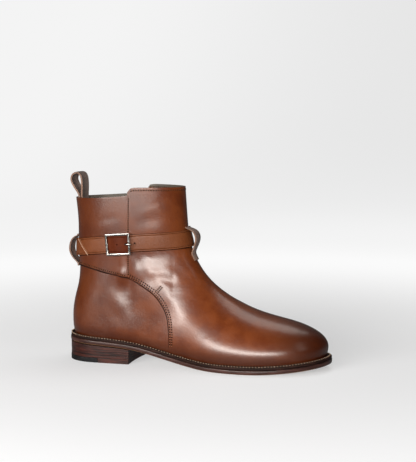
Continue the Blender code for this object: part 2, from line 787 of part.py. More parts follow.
def make_heel():
    """Stacked lifts under the seat, and a top piece of rubber at the back and leather in front."""
    top = TOP_PIECE_THICKNESS
    room = SEAT_HEIGHT_BREAST - top
    flat = room / LIFT_COUNT * 0.92
    floor = lambda x: -GAP / 2
    for lift in range(LIFT_COUNT):
        low = lambda x, lift=lift: top + lift * flat
        high = lambda x, lift=lift: top + (lift + 1) * flat
        if lift == LIFT_COUNT - 1:
            high = lambda x: underside(x) - GAP / 2
        name = "heel_lift_%d" % (lift + 1)
        heel_slice(name, low, high, 0, HEEL_LENGTH, SOLE_BROWN, 0.35, 0.0004 + 0.00015 * (lift % 2))
    level = lambda x: top
    heel_slice("top_piece_rubber", floor, level, 0, RUBBER_LENGTH, BLACK, 0.6, 0.0003, -0.004)
    start = RUBBER_LENGTH + GAP
    heel_slice_front("top_piece_leather", floor, level, start, HEEL_LENGTH, -0.004)


def heel_slice_front(name, low, high, start, end, hollow):
    """The leather part of the top piece, whose back edge follows the rubber's bulged front edge."""
    loops = []
    for level in (lambda x: low(x) + GAP / 2, lambda x: high(x) - GAP / 2):
        x = np.linspace(start, end, 5)
        outer = np.stack([x, plan_edge(x / SOLE_LENGTH, -1) + 0.0003], 1)
        inner = np.stack([x, plan_edge(x / SOLE_LENGTH, 1) - 0.0003], 1)
        share = np.linspace(0, 1, 7)[1:-1]
        front = outer[-1] + (inner[-1] - outer[-1]) * share[:, None]
        front[:, 0] -= BREAST_HOLLOW * 4 * share * (1 - share)
        back = inner[0] + (outer[0] - inner[0]) * share[:, None]
        back[:, 0] -= hollow * 4 * share * (1 - share)
        loop = np.concatenate([outer, front, inner[::-1], back])
        loops.append([(px, py, float(level(px))) for px, py in loop])
    return new_object(name, capped_solid(name, loops), SOLE_BROWN, 0.4)


# The strap's middle line on the shaft. Shares: along of SOLE_LENGTH, high of SHAFT_HEIGHT_FRONT.
STRAP_COLUMNS = ("along", "high")
STRAP_LINE = (
    (0.030, 0.6413),
    (0.099, 0.6610),
    (0.185, 0.6796),
    (0.277, 0.6912),
    (0.356, 0.6987),
    (0.416, 0.7038),
    (0.465, 0.7093),
)
OVER_PANELS = LEATHER + SIDE_OVERLAP + GAP


def strap_height(x):
    return table_curve(STRAP_LINE, 1, x / SOLE_LENGTH) * SHAFT_HEIGHT_FRONT


def shaft_point(turn, offset):
    """The skin's point at a turn whose height is offset over the strap's middle line."""
    low, high = np.zeros(np.shape(turn)), np.ones(np.shape(turn))
    for _ in range(30):
        middle = (low + high) / 2
        point = skin(turn, middle)
        below = point[..., 2] - strap_height(point[..., 0]) < offset
        low, high = np.where(below, middle, low), np.where(below, high, middle)
    return skin(turn, (low + high) / 2)


def square_to(middle, along, edge):
    """The points of a closed curve that lie square to each point of the middle one."""
    found = np.empty_like(middle)
    count = len(middle) - 1
    window = np.arange(-30, 31)
    for i in range(len(middle)):
        near = edge[(i + window) % count]
        ahead = np.sum((near - middle[i]) * along[i], 1)
        found[i] = [np.interp(0.0, ahead, near[:, k]) for k in range(3)]
    return found


class StrapTrack:
    """The track that the strap follows round the shaft, measured by length from the buckle's bar."""

    def __init__(self, count=361):
        turn = np.linspace(0, 2 * math.pi, count)
        low, high = shaft_point(turn, -STRAP_WIDTH / 2), shaft_point(turn, STRAP_WIDTH / 2)
        middle = shaft_point(turn, 0 * turn)
        along = np.roll(middle[:-1], -1, 0) - np.roll(middle[:-1], 1, 0)
        along = np.concatenate([along, along[:1]])
        along /= np.linalg.norm(along, axis=1, keepdims=True)
        low, high = square_to(middle, along, low), square_to(middle, along, high)
        up = high - low
        up /= np.linalg.norm(up, axis=1, keepdims=True)
        out = np.cross(along, up)
        out /= np.linalg.norm(out, axis=1, keepdims=True)
        chord = (low + high) / 2
        bulge = np.maximum(np.sum((middle - chord) * out, 1), 0)
        middle = chord + out * bulge[:, None]
        steps = np.linalg.norm(np.diff(middle + out * OVER_PANELS, axis=0), axis=1)
        length = np.concatenate([[0], np.cumsum(steps)])
        half = length[: count // 2]
        self.bar = np.interp(BUCKLE_PLACE, middle[: count // 2, 0], half)
        self.round = length[-1]
        self.length, self.middle, self.up, self.out = length, middle, up, out

    def place(self, from_bar, stand, across):
        """A point by its length from the bar, its height over the panels and its place across."""
        at = np.mod(from_bar + self.bar, self.round)
        read = lambda table: np.array([np.interp(at, self.length, table[:, i]) for i in range(3)])
        lean = STRAP_STAND * (0.5 - across / STRAP_WIDTH)
        stand = stand + lean + OVER_PANELS
        return read(self.middle) + read(self.out) * stand + read(self.up) * across


# The strap near the buckle, in the order it runs from the fold behind the bar. All in shares of
# STRAP_THICKNESS: how far before the bar, the height of its middle and how thick it is.
FOLD_COLUMNS = ("from_bar", "stand", "thick")
FOLD = (
    (-3.50, 1.35, 0.50),
    (-2.50, 1.45, 0.50),
    (-1.30, 2.02, 0.50),
    (0.00, 2.27, 0.50),
    (0.68, 1.98, 0.50),
    (0.97, 1.30, 0.50),
    (0.68, 0.62, 0.50),
    (0.00, 0.33, 0.50),
    (-2.00, 0.35, 0.50),
    (-4.50, 0.50, 1.00),
)
OVER_BAR = (
    (15.00, 0.50, 1.00),
    (11.00, 0.50, 1.00),
    (8.50, 0.80, 1.00),
    (6.25, 1.58, 1.00),
    (5.00, 2.20, 1.00),
    (3.75, 2.80, 1.00),
    (2.50, 3.15, 1.00),
    (1.25, 3.30, 1.00),
    (0.00, 3.35, 1.00),
    (-1.30, 3.15, 1.00),
    (-2.50, 2.65, 1.00),
    (-3.75, 2.20, 1.00),
    (-5.00, 1.88, 1.00),
    (-6.25, 1.70, 1.00),
    (-8.50, 1.65, 1.00),
    (-11.00, 1.65, 1.00),
)


def strap_stations(track):
    """Length from the bar, stand and thickness of each station, from the fold to the free end."""
    unit = STRAP_THICKNESS
    rows = [tuple(unit * value for value in row) for row in FOLD]
    first, last = rows[-1][0] - STRAP_STEP, OVER_BAR[0][0] * unit - track.round + STRAP_STEP
    count = round((first - last) / STRAP_STEP)
    plain = [(first + (last - first) * i / count, unit / 2, unit) for i in range(count + 1)]
    over = [(row[0] * unit - track.round, row[1] * unit, row[2] * unit) for row in OVER_BAR]
    end = np.interp(FREE_END_ALONG, track.middle[:180, 0], track.length[:180]) - track.bar
    start, square = over[-1][0] + track.round, end + FREE_END_SLANT / 2 + STRAP_STEP / 2
    count = max(round((start - square) / STRAP_STEP), 1)
    lengths = [start + (square - start) * i / count for i in range(1, count + 1)] + [end]
    tail = [(length - track.round, OVER_BAR[-1][1] * unit, unit) for length in lengths]
    return rows + plain + over + tail


def make_strap(track):
    """One long strap: folded round the buckle's bar, once round the ankle, and over its own start."""
    stations = strap_stations(track)
    loops = []
    for i, (length, stand, thick) in enumerate(stations):
        before, after = stations[max(i - 1, 0)], stations[min(i + 1, len(stations) - 1)]
        run, rise = after[0] - before[0], after[1] - before[1]
        size = math.hypot(run, rise)
        side = np.array([-rise, run]) / size * thick / 2
        slant = FREE_END_SLANT / STRAP_WIDTH if i == len(stations) - 1 else 0.0
        loop = []
        for across, sign in ((-0.5, 1), (0.5, 1), (0.5, -1), (-0.5, -1)):
            y = across * STRAP_WIDTH
            at = length + sign * side[0] - slant * y
            loop.append(track.place(at, stand + sign * side[1], y))
        loops.append(loop)
    strap = new_object("strap", capped_solid("strap", loops), BROWN, 0.4)
    unit = STRAP_THICKNESS
    slot = block_on(track, (-1.75, 1.90), (-0.9, 2.62), 0.0014)
    cut(strap, slot)
    cut(strap, block_on(track, (2.95, 5.45), (-0.1, 4.5), 0.0013))
    for hole in (0.0, 9.0):
        cut(strap, hole_on(track, hole * unit, -0.1 * unit if hole else 2.6 * unit, 4.5 * unit))
    return strap


def block_on(track, lengths, stands, half):
    """A cutter along the strap. Lengths and stands are in shares of STRAP_THICKNESS."""
    unit = STRAP_THICKNESS
    loops = []
    for length in np.linspace(*lengths, 4):
        corners = ((stands[0], -half), (stands[1], -half), (stands[1], half), (stands[0], half))
        loops.append([track.place(length * unit, stand * unit, y) for stand, y in corners])
    return new_object("cutter", capped_solid("cutter", loops), STEEL, 0.3)


def hole_on(track, length, low, high):
    """A round cutter through the strap, for a hole that the prong may take."""
    loops = []
    for stand in (low, high):
        turns = np.arange(10) * 2 * math.pi / 10
        ring = [(length + 0.0009 * math.cos(a), 0.0009 * math.sin(a)) for a in turns]
        loops.append([track.place(at, stand, y) for at, y in ring])
    return new_object("cutter", capped_solid("cutter", loops), STEEL, 0.3)


def boolean(body, tool, kind):
    modifier = body.modifiers.new("join", "BOOLEAN")
    modifier.operation, modifier.solver, modifier.object = kind, "EXACT", tool
    bpy.context.view_layer.update()
    shape = bpy.data.meshes.new_from_object(
        body.evaluated_get(bpy.context.evaluated_depsgraph_get())
    )
    body.modifiers.clear()
    body.data = shape
    bpy.data.objects.remove(tool)


def cut(body, tool):
    boolean(body, tool, "DIFFERENCE")


def rod(name, points, radius, sides=8, closed=False, flat=1.0):
    """A rod along points. flat is its thickness over its width."""
    points = [np.array(p, float) for p in points]
    count = len(points)
    loops, side = [], None
    for i, point in enumerate(points):
        ahead = points[(i + 1) % count] if closed else points[min(i + 1, count - 1)]
        behind = points[i - 1] if closed else points[max(i - 1, 0)]
        along = (ahead - behind) / np.linalg.norm(ahead - behind)
        if side is None:
            side = np.cross(along, (0.0, 1.0, 0.0) if abs(along[1]) < 0.8 else (1.0, 0.0, 0.0))
        side = side - along * side.dot(along)
        side /= np.linalg.norm(side)
        other = np.cross(along, side)
        turns = (np.arange(sides) + 0.5) * 2 * math.pi / sides
        ring = [point + radius * (math.cos(a) * side * flat + math.sin(a) * other) for a in turns]
        loops.append(ring)
    mesh = ring_solid(name, loops) if closed else capped_solid(name, loops)
    return mesh


def make_buckle(track):
    """A rectangular frame over the strap, with its bar under it, and a prong hung on the bar."""
    half_length = (BUCKLE_LENGTH - BUCKLE_WIRE) / 2
    half_height = (BUCKLE_HEIGHT - BUCKLE_WIRE) / 2
    path = []
    for corner, (sx, sy) in enumerate(((1, 1), (-1, 1), (-1, -1), (1, -1))):
        for step in range(4):
            angle = (corner + step / 3) * math.pi / 2
            x = sx * (half_length - BUCKLE_CORNER) + BUCKLE_CORNER * math.cos(angle)
            y = sy * (half_height - BUCKLE_CORNER) + BUCKLE_CORNER * math.sin(angle)
            path.append((x, y))
        if corner in (0, 2):
            path += [(sx * share * half_length, sy * half_height) for share in (0.5, 0, -0.5)]
    frame = rod("buckle", [track.place(x, BUCKLE_STAND, y) for x, y in path], BUCKLE_WIRE / 2,
                closed=True)
    buckle = new_object("buckle", frame, STEEL, 0.25, 1.0)
    rise = [(-half_height, BUCKLE_STAND), (-half_height, BAR_STAND + 0.0010),
            (-half_height + 0.0008, BAR_STAND), (half_height - 0.0008, BAR_STAND),
            (half_height, BAR_STAND + 0.0010), (half_height, BUCKLE_STAND)]
    bar = rod("bar", [track.place(0.0, stand, y) for y, stand in rise], BUCKLE_WIRE / 2 * 0.93)
    boolean(buckle, new_object("bar", bar, STEEL, 0.25, 1.0), "UNION")
    make_prong(track)
    return buckle


# The prong's middle line from the bar to its tip, in shares of STRAP_THICKNESS.
PRONG_COLUMNS = ("from_bar", "stand")
PRONG = (
    (0.85, 1.52),
    (1.60, 1.80),
    (2.60, 1.95),
    (3.60, 2.25),
    (4.20, 2.85),
    (4.75, 3.65),
    (5.40, 4.02),
    (6.25, 4.10),
    (7.10, 3.98),
)
PRONG_HALF = 0.00072
EYE_INNER = 0.00140
EYE_OUTER = 0.00220


def make_prong(track):
    unit = STRAP_THICKNESS
    arm = rod("prong", [track.place(a * unit, s * unit, 0.0) for a, s in PRONG], PRONG_HALF, 8)
    prong = new_object("prong", arm, STEEL, 0.25, 1.0)
    loops = []
    for turn in np.arange(16) * 2 * math.pi / 16:
        ring = []
        corners = ((EYE_INNER, -1), (EYE_OUTER, -1), (EYE_OUTER, 1), (EYE_INNER, 1))
        for radius, side in corners:
            x, z = radius * math.cos(turn), BAR_STAND + radius * math.sin(turn)
            ring.append(track.place(x, z, side * 0.0009))
        loops.append(ring)
    boolean(prong, new_object("eye", ring_solid("eye", loops), STEEL, 0.25, 1.0), "UNION")
    return prong


# A keeper's band from its upper tab to its lower one: height on the shaft in metres from the strap's
# middle line as shares of STRAP_WIDTH, and how far its inner face stands off as shares of the same.
KEEPER_COLUMNS = ("high", "stand")
FRONT_KEEPER = (
    (0.680, 0.000),
    (0.610, 0.010),
    (0.560, 0.110),
    (0.500, 0.230),
    (0.380, 0.390),
    (0.200, 0.490),
    (0.000, 0.520),
    (-0.250, 0.480),
    (-0.480, 0.360),
    (-0.700, 0.180),
    (-0.860, 0.040),
    (-0.960, 0.000),
    (-1.150, 0.000),
    (-1.330, 0.000),
)
BACK_KEEPER = (
    (0.760, 0.000),
    (0.690, 0.010),
    (0.650, 0.110),
    (0.590, 0.230),
    (0.460, 0.370),
    (0.250, 0.480),
    (0.000, 0.530),
    (-0.250, 0.540),
    (-0.500, 0.450),
    (-0.700, 0.310),
    (-0.880, 0.140),
    (-0.980, 0.030),
    (-1.060, 0.000),
    (-1.160, 0.000),
)


def make_keeper(name, middle_turn, table, base):
    """A leather band sewn on over the strap: flat tabs above and below, standing clear between."""
    middle_x = float(shaft_point(np.array([middle_turn]), np.array([0.0]))[0, 0])
    line = float(strap_height(middle_x))
    spread = keeper_turns(middle_turn, line)
    loops = []
    for high, stand in table:
        turns = middle_turn + spread
        heights = np.full(len(turns), line + high * STRAP_WIDTH)
        rings = ring_at_height(np.mod(turns, 2 * math.pi), heights)
        reach = np.full(len(turns), base + stand * STRAP_WIDTH)
        flat = KEEPER_FLAT * min(stand / 0.2, 1.0)
        inner = keeper_points(turns, rings, reach, flat)
        outer = keeper_points(turns, rings, reach + KEEPER_THICKNESS, flat)
        loops.append(list(inner) + list(outer[::-1]))
    return new_object(name, capped_solid(name, loops), DARK_BROWN, 0.4)


KEEPER_FLAT = 0.65


def keeper_points(turns, rings, reach, flat):
    """Points off the skin, where it stands clear nearly straight out, so that the band keeps its width."""
    points = skin(np.mod(turns, 2 * math.pi), rings)
    normal = skin_normal(turns, rings)
    middle = normal[len(turns) // 2]
    mixed = normal * (1 - flat) + middle * flat
    mixed /= np.linalg.norm(mixed, axis=1, keepdims=True)
    lift = reach / np.maximum(np.sum(mixed * normal, 1), 0.5)
    return points + mixed * lift[:, None]


def keeper_turns(middle_turn, height):
    """Turns on both sides of the middle whose points lie within the keeper's width."""
    spread = np.linspace(-0.9, 0.9, 181)
    turns = np.mod(middle_turn + spread, 2 * math.pi)
    points = skin(turns, ring_at_height(turns, np.full(181, height)))
    y = points[:, 1] - points[90, 1]
    order = np.argsort(y)
    wanted = np.linspace(-0.5, 0.5, 5) * KEEPER_WIDTH
    found = np.interp(wanted, y[order], spread[order])
    return found


# The pull loop seen from the side. Shares: along of LOOP_HEIGHT from the collar's inner face, high of
# LOOP_HEIGHT from the collar's edge at the back. Its tails run on down inside the shaft.
LOOP_COLUMNS = ("along", "high")
LOOP = (
    (0.000, 0.030),
    (-0.060, 0.190),
    (-0.215, 0.390),
    (-0.330, 0.580),
    (-0.375, 0.740),
    (-0.330, 0.890),
    (-0.225, 0.985),
    (-0.085, 1.010),
    (0.030, 0.945),
    (0.090, 0.810),
    (0.110, 0.620),
    (0.118, 0.420),
    (0.108, 0.230),
    (0.096, 0.100),
)


def make_pull_loop():
    """A webbing-like leather band folded into a standing loop, its two tails inside the back."""
    inside = -LINING_WALL - 2.5 * GAP - LOOP_THICKNESS / 2
    tail = np.linspace(-LOOP_TAIL, 0, 4)[:-1]
    rows = []
    for z in tail:
        rows.append((wall_x(SHAFT_HEIGHT_BACK + z) - inside, SHAFT_HEIGHT_BACK + z))
    start = wall_x(SHAFT_HEIGHT_BACK) - inside
    for along, high in LOOP:
        rows.append((start + along * LOOP_HEIGHT, SHAFT_HEIGHT_BACK + high * LOOP_HEIGHT))
    second = LOOP_THICKNESS + GAP
    for z in tail[::-1]:
        rows.append((wall_x(SHAFT_HEIGHT_BACK + z) - inside + second, SHAFT_HEIGHT_BACK + z))
    loops = []
    for i, (x, z) in enumerate(rows):
        before, after = rows[max(i - 1, 0)], rows[min(i + 1, len(rows) - 1)]
        run, rise = after[0] - before[0], after[1] - before[1]
        size = math.hypot(run, rise)
        side = np.array([-rise, run]) / size * LOOP_THICKNESS / 2
        widths = np.linspace(-0.5, 0.5, 5) * LOOP_WIDTH
        outer = [(x + side[0] + back_bow(y), y, z + side[1]) for y in widths]
        inner = [(x - side[0] + back_bow(y), y, z - side[1]) for y in widths]
        loops.append(outer + inner[::-1])
    return new_object("pull_loop", capped_solid("pull_loop", loops), DARK_BROWN, 0.45)


def wall_x(z):
    """x of the back seam at a height, without the panels."""
    return float(back_along(z))


def back_bow(y):
    """How far forward the back of the shaft lies at a distance from its middle, near the collar."""
    turns = np.linspace(0, 0.9, 120)
    points = skin(turns, np.full(120, 0.97))
    return float(np.interp(abs(y), -points[:, 1], points[:, 0]) - points[0, 0])


def clear_scene():
    for item in list(bpy.data.objects):
        bpy.data.objects.remove(item)


def place_origin():
    """Hang every piece on an empty that moves the box's middle to the origin."""
    bpy.context.view_layer.update()
    pieces = [item for item in bpy.data.objects if item.type == "MESH"]
    points = np.array([v.co for item in pieces for v in item.data.vertices])
    low, high = points.min(0), points.max(0)
    anchor = bpy.data.objects.new("jodhpur_boot", None)
    bpy.context.scene.collection.objects.link(anchor)
    anchor.location = (-(low[0] + high[0]) / 2, -(low[1] + high[1]) / 2, -low[2])
    for item in pieces:
        item.parent = anchor


def main():
    clear_scene()
    make_upper()
    make_outsole()
    make_welt()
    make_insole()
    make_heel()
    track = StrapTrack()
    make_strap(track)
    make_buckle(track)
    make_keeper("front_keeper", math.pi, FRONT_KEEPER, LEATHER + GAP)
    make_keeper("back_keeper", 0.0, BACK_KEEPER, LEATHER + GAP)
    make_pull_loop()
    place_origin()


main()
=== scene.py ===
"""The looks of the jodhpur boot: chestnut calf, wrap strap with a steel buckle, welted leather sole."""

import math

import bpy
import numpy as np
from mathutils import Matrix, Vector
from mathutils.bvhtree import BVHTree
from mathutils.kdtree import KDTree


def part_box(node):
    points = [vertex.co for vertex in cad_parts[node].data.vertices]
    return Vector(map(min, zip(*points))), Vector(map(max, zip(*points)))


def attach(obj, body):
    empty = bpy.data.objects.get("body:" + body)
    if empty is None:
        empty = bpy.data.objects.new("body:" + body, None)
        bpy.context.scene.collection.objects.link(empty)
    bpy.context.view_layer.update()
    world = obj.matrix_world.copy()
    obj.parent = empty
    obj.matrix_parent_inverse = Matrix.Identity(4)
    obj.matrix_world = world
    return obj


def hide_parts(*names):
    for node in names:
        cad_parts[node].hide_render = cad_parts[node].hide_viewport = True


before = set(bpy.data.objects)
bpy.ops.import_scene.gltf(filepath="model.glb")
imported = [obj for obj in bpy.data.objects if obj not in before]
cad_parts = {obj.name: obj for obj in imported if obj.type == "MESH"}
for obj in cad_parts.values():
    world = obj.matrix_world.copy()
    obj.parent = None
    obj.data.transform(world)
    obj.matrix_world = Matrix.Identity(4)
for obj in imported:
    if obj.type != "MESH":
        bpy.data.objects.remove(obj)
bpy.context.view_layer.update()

# Upper: the vamp, back panel and counter of chestnut calf, lasted over a leather lining. Each panel
# laps over the one behind it, and the leather creases softly at the ankle, where the boot bends.
SOLE_BACK = -0.1503
SOLE_MIDDLE = 0.0012


def pick(*pieces):
    """Selects these pieces alone, the first of them active."""
    bpy.ops.object.select_all(action="DESELECT")
    for piece in pieces:
        piece.select_set(True)
    bpy.context.view_layer.objects.active = pieces[0]


def copy_of(node, name):
    """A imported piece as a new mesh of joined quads, its triangles merged."""
    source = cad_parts[node]
    made = bpy.data.objects.new(name, source.data.copy())
    made.data.name = name
    made.data.materials.clear()
    bpy.context.scene.collection.objects.link(made)
    pick(made)
    bpy.ops.object.mode_set(mode="EDIT")
    bpy.ops.mesh.select_all(action="SELECT")
    bpy.ops.mesh.customdata_custom_splitnormals_clear()
    bpy.ops.mesh.remove_doubles(threshold=1e-5)
    bpy.ops.mesh.tris_convert_to_quads(
        face_threshold=math.radians(35), shape_threshold=math.radians(150)
    )
    bpy.ops.mesh.mark_sharp(clear=True)
    bpy.ops.object.mode_set(mode="OBJECT")
    return made


def edit(piece, mode):
    """Edit mode on this piece alone, with nothing selected."""
    pick(piece)
    bpy.ops.object.mode_set(mode="EDIT")
    bpy.ops.mesh.select_mode(type=mode)
    bpy.ops.mesh.select_all(action="DESELECT")


def choose(action):
    """Selects or lets go of the whole mesh in edit mode."""
    bpy.ops.mesh.select_all(action=action)


def done():
    bpy.ops.object.mode_set(mode="OBJECT")


def round_edges(piece, width, steps=2, angle=40):
    """Bevels every edge that is sharper than the angle."""
    edit(piece, "EDGE")
    bpy.ops.mesh.edges_select_sharp(sharpness=math.radians(angle))
    bpy.ops.mesh.bevel(offset=width, segments=steps, profile=0.5, clamp_overlap=True)
    done()


def smooth_skin(piece, levels):
    """Subdivides the finished cage and shades it smooth."""
    bpy.context.view_layer.objects.active = piece
    if levels:
        skin = piece.modifiers.new("skin", "SUBSURF")
        skin.levels = skin.render_levels = levels
        bpy.ops.object.modifier_apply(modifier="skin")
    piece.data.shade_smooth()


def vertices(piece):
    points = np.empty(len(piece.data.vertices) * 3)
    piece.data.vertices.foreach_get("co", points)
    return points.reshape(-1, 3)


def normals(piece):
    found = np.empty(len(piece.data.vertices) * 3)
    piece.data.vertex_normals.foreach_get("vector", found)
    return found.reshape(-1, 3)


def put_vertices(piece, points):
    piece.data.vertices.foreach_set("co", np.asarray(points, dtype=float).ravel())
    piece.data.update()


def tree_of(piece):
    return BVHTree.FromPolygons(
        [v.co.copy() for v in piece.data.vertices], [tuple(p.vertices) for p in piece.data.polygons]
    )


upper = copy_of("upper", "upper_calf")

# The lining is the wall's inner face: it starts at the face seen from the middle of the shaft.
inside = tree_of(upper).ray_cast(Vector((-0.07, 0.0, 0.12)), Vector((0, -1, 0)))[2]
edit(upper, "FACE")
done()
upper.data.polygons[inside].select = True
upper.data.polygons.active = inside
bpy.ops.object.mode_set(mode="EDIT")
bpy.ops.mesh.faces_select_linked_flat(sharpness=math.radians(50))
done()
# The narrow faces between the panels are the cut edges of the leather.
THICKEST_EDGE = 0.00098
SHORTEST_EDGE = 0.002
for face in upper.data.polygons:
    corners = [upper.data.vertices[i].co for i in face.vertices]
    sides = [(a - b).length for a, b in zip(corners, corners[1:] + corners[:1])]
    is_edge = min(sides) < THICKEST_EDGE and max(sides) > SHORTEST_EDGE
    face.material_index = 1 if face.select else 2 if is_edge else 0
round_edges(upper, 0.00028, 2, 38)
smooth_skin(upper, 2)

# Soft creases and swells in mm from the sole's back edge and the floor: from x, z to x, z, how wide,
# how high (a trough is less than nothing), and the side: -1 outer, 1 inner, 0 both.
CREASES = (
    (60.0, 91.0, 84.0, 87.0, 19.0, -2.5, 0),
    (66.0, 44.0, 94.0, 38.0, 17.0, 2.1, 0),
    (84.0, 125.0, 128.0, 123.0, 12.0, -0.9, 0),
    (90.0, 74.0, 122.0, 76.0, 32.0, 3.0, 0),
    (68.5, 100.0, 78.5, 98.5, 9.0, 3.10, -1),
    (82.0, 104.0, 94.0, 98.0, 9.0, 0.60, -1),
    (72.8, 122.0, 74.8, 104.0, 3.4, 0.70, -1),
    (67.4, 124.0, 69.0, 108.0, 2.4, -0.40, -1),
    (84.0, 127.0, 83.5, 108.0, 3.0, 0.45, -1),
    (89.5, 126.0, 92.0, 112.0, 2.6, -0.40, -1),
    (97.0, 112.0, 116.0, 96.0, 9.0, 0.45, -1),
    (99.0, 126.0, 106.0, 118.0, 3.6, -0.35, -1),
    (104.0, 111.0, 116.0, 109.0, 3.4, -0.18, -1),
    (99.0, 104.0, 109.0, 92.0, 4.4, -0.22, -1),
    (112.0, 100.0, 131.0, 92.0, 4.0, -0.35, -1),
    (119.0, 108.0, 137.0, 101.0, 5.0, 0.40, -1),
    (133.0, 108.0, 146.0, 96.0, 6.0, -0.55, -1),
    (120.0, 90.0, 137.0, 62.0, 6.0, 0.55, -1),
    (104.0, 176.0, 122.0, 187.0, 2.6, -0.16, -1),
    (97.0, 171.0, 112.0, 178.0, 3.0, 0.16, -1),
    (92.0, 160.0, 118.0, 166.0, 4.5, -0.20, -1),
    (96.0, 150.0, 124.0, 154.0, 5.0, 0.22, -1),
    (45.0, 152.0, 66.0, 156.0, 8.0, 0.16, -1),
    (42.0, 160.0, 68.0, 165.0, 4.0, -0.18, -1),
    (61.0, 78.0, 82.0, 53.0, 6.0, 0.55, -1),
    (56.0, 66.0, 72.0, 44.0, 5.0, -0.35, -1),
    (90.0, 74.0, 104.0, 52.0, 6.0, -0.30, -1),
    (73.0, 127.0, 74.5, 105.0, 2.4, 0.50, 1),
    (69.0, 126.0, 71.0, 108.0, 2.0, -0.40, 1),
    (92.0, 118.0, 120.0, 96.0, 7.0, 0.70, 1),
    (97.0, 105.0, 109.0, 92.0, 3.6, -0.40, 1),
    (112.0, 100.0, 131.0, 92.0, 4.0, -0.35, 1),
    (133.0, 108.0, 146.0, 96.0, 6.0, -0.45, 1),
    (186.0, 78.0, 193.0, 52.0, 4.0, -0.22, 0),
    (199.0, 74.0, 205.0, 50.0, 4.5, 0.16, 0),
)


def crease(piece, strokes, outer_faces):
    """Pushes the skin out or in along soft strokes."""
    points, push = vertices(piece), normals(piece)
    x = (points[:, 0] - SOLE_BACK) * 1000
    z = points[:, 2] * 1000
    side = np.sign(points[:, 1] - SOLE_MIDDLE)
    rise = np.zeros(len(points))
    for x0, z0, x1, z1, wide, high, on in strokes:
        run = np.array([x1 - x0, z1 - z0])
        share = np.clip(((x - x0) * run[0] + (z - z0) * run[1]) / run.dot(run), -0.25, 1.25)
        off = np.hypot(x - x0 - share * run[0], z - z0 - share * run[1])
        fade = np.clip(1 - np.abs(share - 0.5) / 0.75, 0, 1) ** 0.7
        stroke = high * fade * np.exp(-((off / wide) ** 2))
        rise += stroke * ((side == on) | (on == 0))
    # The lining moves with the calf, and its own faces look inwards.
    rise *= np.where(outer_faces > 0, 1, -1)
    put_vertices(piece, points + push * rise[:, None] / 1000)


outer = np.zeros(len(upper.data.vertices))
for face in upper.data.polygons:
    if face.material_index != 1:
        outer[list(face.vertices)] = 1
crease(upper, CREASES, outer)
upper_tree = tree_of(upper)


# The calf is dyed chestnut and burnished darker at the toe and heel, and darker low along the welt; a painted
# shade darkens it towards the back. Its grain is fine pores; a light wax finish gives it its gloss.
def group(name, sockets_in, sockets_out):
    made = bpy.data.node_groups.new(name, "ShaderNodeTree")
    for label, kind, value in sockets_in:
        socket = made.interface.new_socket(label, in_out="INPUT", socket_type=kind)
        if value is not None:
            socket.default_value = value
    for label, kind in sockets_out:
        made.interface.new_socket(label, in_out="OUTPUT", socket_type=kind)
    return made, made.nodes.new("NodeGroupInput"), made.nodes.new("NodeGroupOutput")


def math_node(tree, operation, first, second=None, clamp=False):
    node = tree.nodes.new("ShaderNodeMath")
    node.operation, node.use_clamp = operation, clamp
    for socket, value in zip(node.inputs, (first, second)):
        if isinstance(value, (int, float)):
            socket.default_value = value
        elif value is not None:
            tree.links.new(value, socket)
    return node.outputs[0]


def noise(tree, vector, scale, detail=4.0, rough=0.55):
    node = tree.nodes.new("ShaderNodeTexNoise")
    node.inputs["Detail"].default_value, node.inputs["Roughness"].default_value = detail, rough
    if isinstance(scale, (int, float)):
        node.inputs["Scale"].default_value = scale
    else:
        tree.links.new(scale, node.inputs["Scale"])
    tree.links.new(vector, node.inputs["Vector"])
    return node.outputs["Fac"]


def spread(tree, value, low, high, to_low=0.0, to_high=1.0):
    """A value from one range to another, softly."""
    node = tree.nodes.new("ShaderNodeMapRange")
    node.interpolation_type = "SMOOTHSTEP"
    for label, number in (("From Min", low), ("From Max", high), ("To Min", to_low), ("To Max", to_high)):
        node.inputs[label].default_value = number
    tree.links.new(value, node.inputs["Value"])
    return node.outputs[0]


def blend(tree, share, first, second, how="MIX"):
    """Two colours mixed by a share."""
    node = tree.nodes.new("ShaderNodeMix")
    node.data_type, node.blend_type = "RGBA", how
    colours = [s for s in node.inputs if s.type == "RGBA"]
    if isinstance(share, (int, float)):
        node.inputs["Factor"].default_value = share
    else:
        tree.links.new(share, node.inputs["Factor"])
    for socket, value in zip(colours, (first, second)):
        if isinstance(value, tuple):
            socket.default_value = (*value, 1)
        else:
            tree.links.new(value, socket)
    return next(s for s in node.outputs if s.type == "RGBA")


leather_grain, grain_in, grain_out = group(
    "leather_grain",
    (("Vector", "NodeSocketVector", None), ("Pore Scale", "NodeSocketFloat", 1500.0)),
    (("Height", "NodeSocketFloat"), ("Cloud", "NodeSocketFloat")),
)
pores = leather_grain.nodes.new("ShaderNodeTexVoronoi")
pores.feature = "DISTANCE_TO_EDGE"
leather_grain.links.new(grain_in.outputs["Vector"], pores.inputs["Vector"])
leather_grain.links.new(grain_in.outputs["Pore Scale"], pores.inputs["Scale"])
pebbles = spread(leather_grain, pores.outputs["Distance"], 0.0, 0.35)
fine = noise(leather_grain, grain_in.outputs["Vector"], 2600.0, 3.0)
slow = noise(leather_grain, grain_in.outputs["Vector"], 150.0, 3.0)
height = math_node(leather_grain, "MULTIPLY", pebbles, 0.35)
height = math_node(leather_grain, "ADD", height, math_node(leather_grain, "MULTIPLY", fine, 0.35))
height = math_node(leather_grain, "ADD", height, math_node(leather_grain, "MULTIPLY", slow, 2.4))
leather_grain.links.new(height, grain_out.inputs["Height"])
cloud = noise(leather_grain, grain_in.outputs["Vector"], 38.0, 5.0, 0.6)
leather_grain.links.new(cloud, grain_out.inputs["Cloud"])


